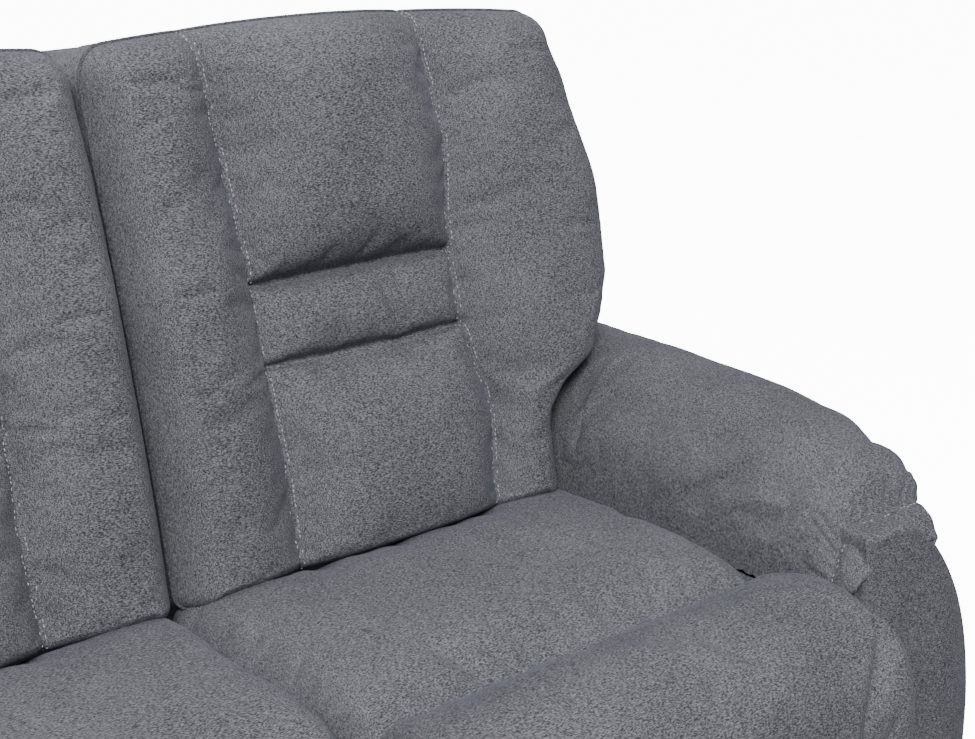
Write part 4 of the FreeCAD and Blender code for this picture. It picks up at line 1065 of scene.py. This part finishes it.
class SOFA_OT_hardware(Operator):
    """Gives the timber, steel and plastic parts their finishes"""
    bl_idname = "sofa.hardware"
    bl_label = "Frame and mechanism"

    def execute(self, context):
        for finish, parts in FINISHES.items():
            for part in parts:
                for name in (part, part + "_r", part + "_l"):
                    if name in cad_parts:
                        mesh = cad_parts[name].data
                        mesh.materials.clear()
                        mesh.materials.append(material(finish))
        return {"FINISHED"}


# Stage, lights and camera

STAGE_GLOW = 12.0
ROOM_LIGHT = 0.15
# Name, place, point aimed at, width in metres and power in watts
LIGHTS = (
    ("key_light", (-2.4, -3.4, 3.8), (0.2, 0.0, 0.5), 1.6, 460.0),
    ("fill_light", (3.2, -3.0, 1.6), (0.2, 0.0, 0.5), 2.4, 40.0),
    ("rear_light", (-1.6, 4.2, 2.4), (0.0, 0.0, 0.6), 2.4, 170.0),
    ("top_light", (0.3, 0.6, 3.6), (0.3, 0.0, 0.5), 1.6, 60.0))
CAMERA_PLACE = Vector((-0.760, -1.321, 1.2375))
CAMERA_TURN = math.radians(-39.87)
CAMERA_DIP = math.radians(17.93)


class SOFA_OT_stage(Operator):
    """Makes the pale floor, the studio lights and the camera"""
    bl_idname = "sofa.stage"
    bl_label = "Floor, lights and camera"

    def execute(self, context):
        tree, shader, place = new_material("pale_studio_floor")
        speck = node(tree, "ShaderNodeTexNoise", Vector=place, Scale=3.0, Detail=3.0)
        tint = ramp(tree, speck.outputs[0],
                    [(0.3, colour4(linear("f4f4f4"))), (0.7, colour4(linear("f8f8f8")))])
        tree.links.new(tint.outputs[0], shader.inputs["Base Color"])
        shader.inputs["Roughness"].default_value = 0.7
        # It glows, so that it stays white behind a dark sofa
        shader.inputs["Emission Color"].default_value = colour4(linear("ffffff"))
        shader.inputs["Emission Strength"].default_value = STAGE_GLOW
        bm = bmesh.new()
        bmesh.ops.create_grid(bm, x_segments=1, y_segments=1, size=12.0)
        floor = finished(bm, "floor", material("pale_studio_floor"), None)
        bm = bmesh.new()
        bmesh.ops.create_cone(bm, segments=64, radius1=11.8, radius2=11.8, depth=12.0)
        backdrop = finished(bm, "backdrop", material("pale_studio_floor"), None)
        backdrop.visible_shadow = False
        # They show white but don't shine on the sofa
        for stage in (floor, backdrop):
            stage.visible_diffuse = False
            stage.visible_glossy = False
        world = bpy.data.worlds.new("studio_white")
        world.use_nodes = True
        world.node_tree.nodes["Background"].inputs[0].default_value = colour4(linear("ffffff"))
        world.node_tree.nodes["Background"].inputs[1].default_value = ROOM_LIGHT
        context.scene.world = world
        for name, spot, aim, width, power in LIGHTS:
            light = bpy.data.lights.new(name, "AREA")
            light.size = width
            light.energy = power
            lamp = bpy.data.objects.new(name, light)
            lamp.location = spot
            lamp.rotation_euler = (Vector(aim) - Vector(spot)).to_track_quat("-Z", "Y").to_euler()
            context.scene.collection.objects.link(lamp)
        lens = bpy.data.cameras.new("camera")
        lens.lens = 65.0
        lens.sensor_width = 36.0
        camera = bpy.data.objects.new("camera", lens)
        camera.location = CAMERA_PLACE
        camera.rotation_euler = (math.pi / 2.0 - CAMERA_DIP, 0.0, CAMERA_TURN)
        context.scene.collection.objects.link(camera)
        context.scene.camera = camera
        return {"FINISHED"}


STEPS = (SOFA_OT_materials, SOFA_OT_backs, SOFA_OT_seats, SOFA_OT_arm_pads, SOFA_OT_arm_covers,
         SOFA_OT_back_covers, SOFA_OT_footrests, SOFA_OT_hardware, SOFA_OT_stage)


class SOFA_PT_panel(Panel):
    """Lists the steps that dress the sofa"""
    bl_idname = "SOFA_PT_panel"
    bl_label = "Reclining sofa"
    bl_space_type = "VIEW_3D"
    bl_region_type = "UI"
    bl_category = "Sofa"

    def draw(self, context):
        for step in STEPS:
            self.layout.operator(step.bl_idname)
        for group in (sizes(), colours()):
            for name in group.__annotations__:
                self.layout.prop(group, name)


CLASSES = (SofaSizes, SofaColours) + STEPS + (SOFA_PT_panel,)


def register():
    for item in CLASSES:
        bpy.utils.register_class(item)
    bpy.types.Scene.sofa_sizes = PointerProperty(type=SofaSizes)
    bpy.types.Scene.sofa_colours = PointerProperty(type=SofaColours)


def unregister():
    del bpy.types.Scene.sofa_colours
    del bpy.types.Scene.sofa_sizes
    for item in reversed(CLASSES):
        bpy.utils.unregister_class(item)


def main():
    register()
    for step in STEPS:
        group, name = step.bl_idname.split(".")
        getattr(getattr(bpy.ops, group), name)()


if __name__ == "__main__":
    main()
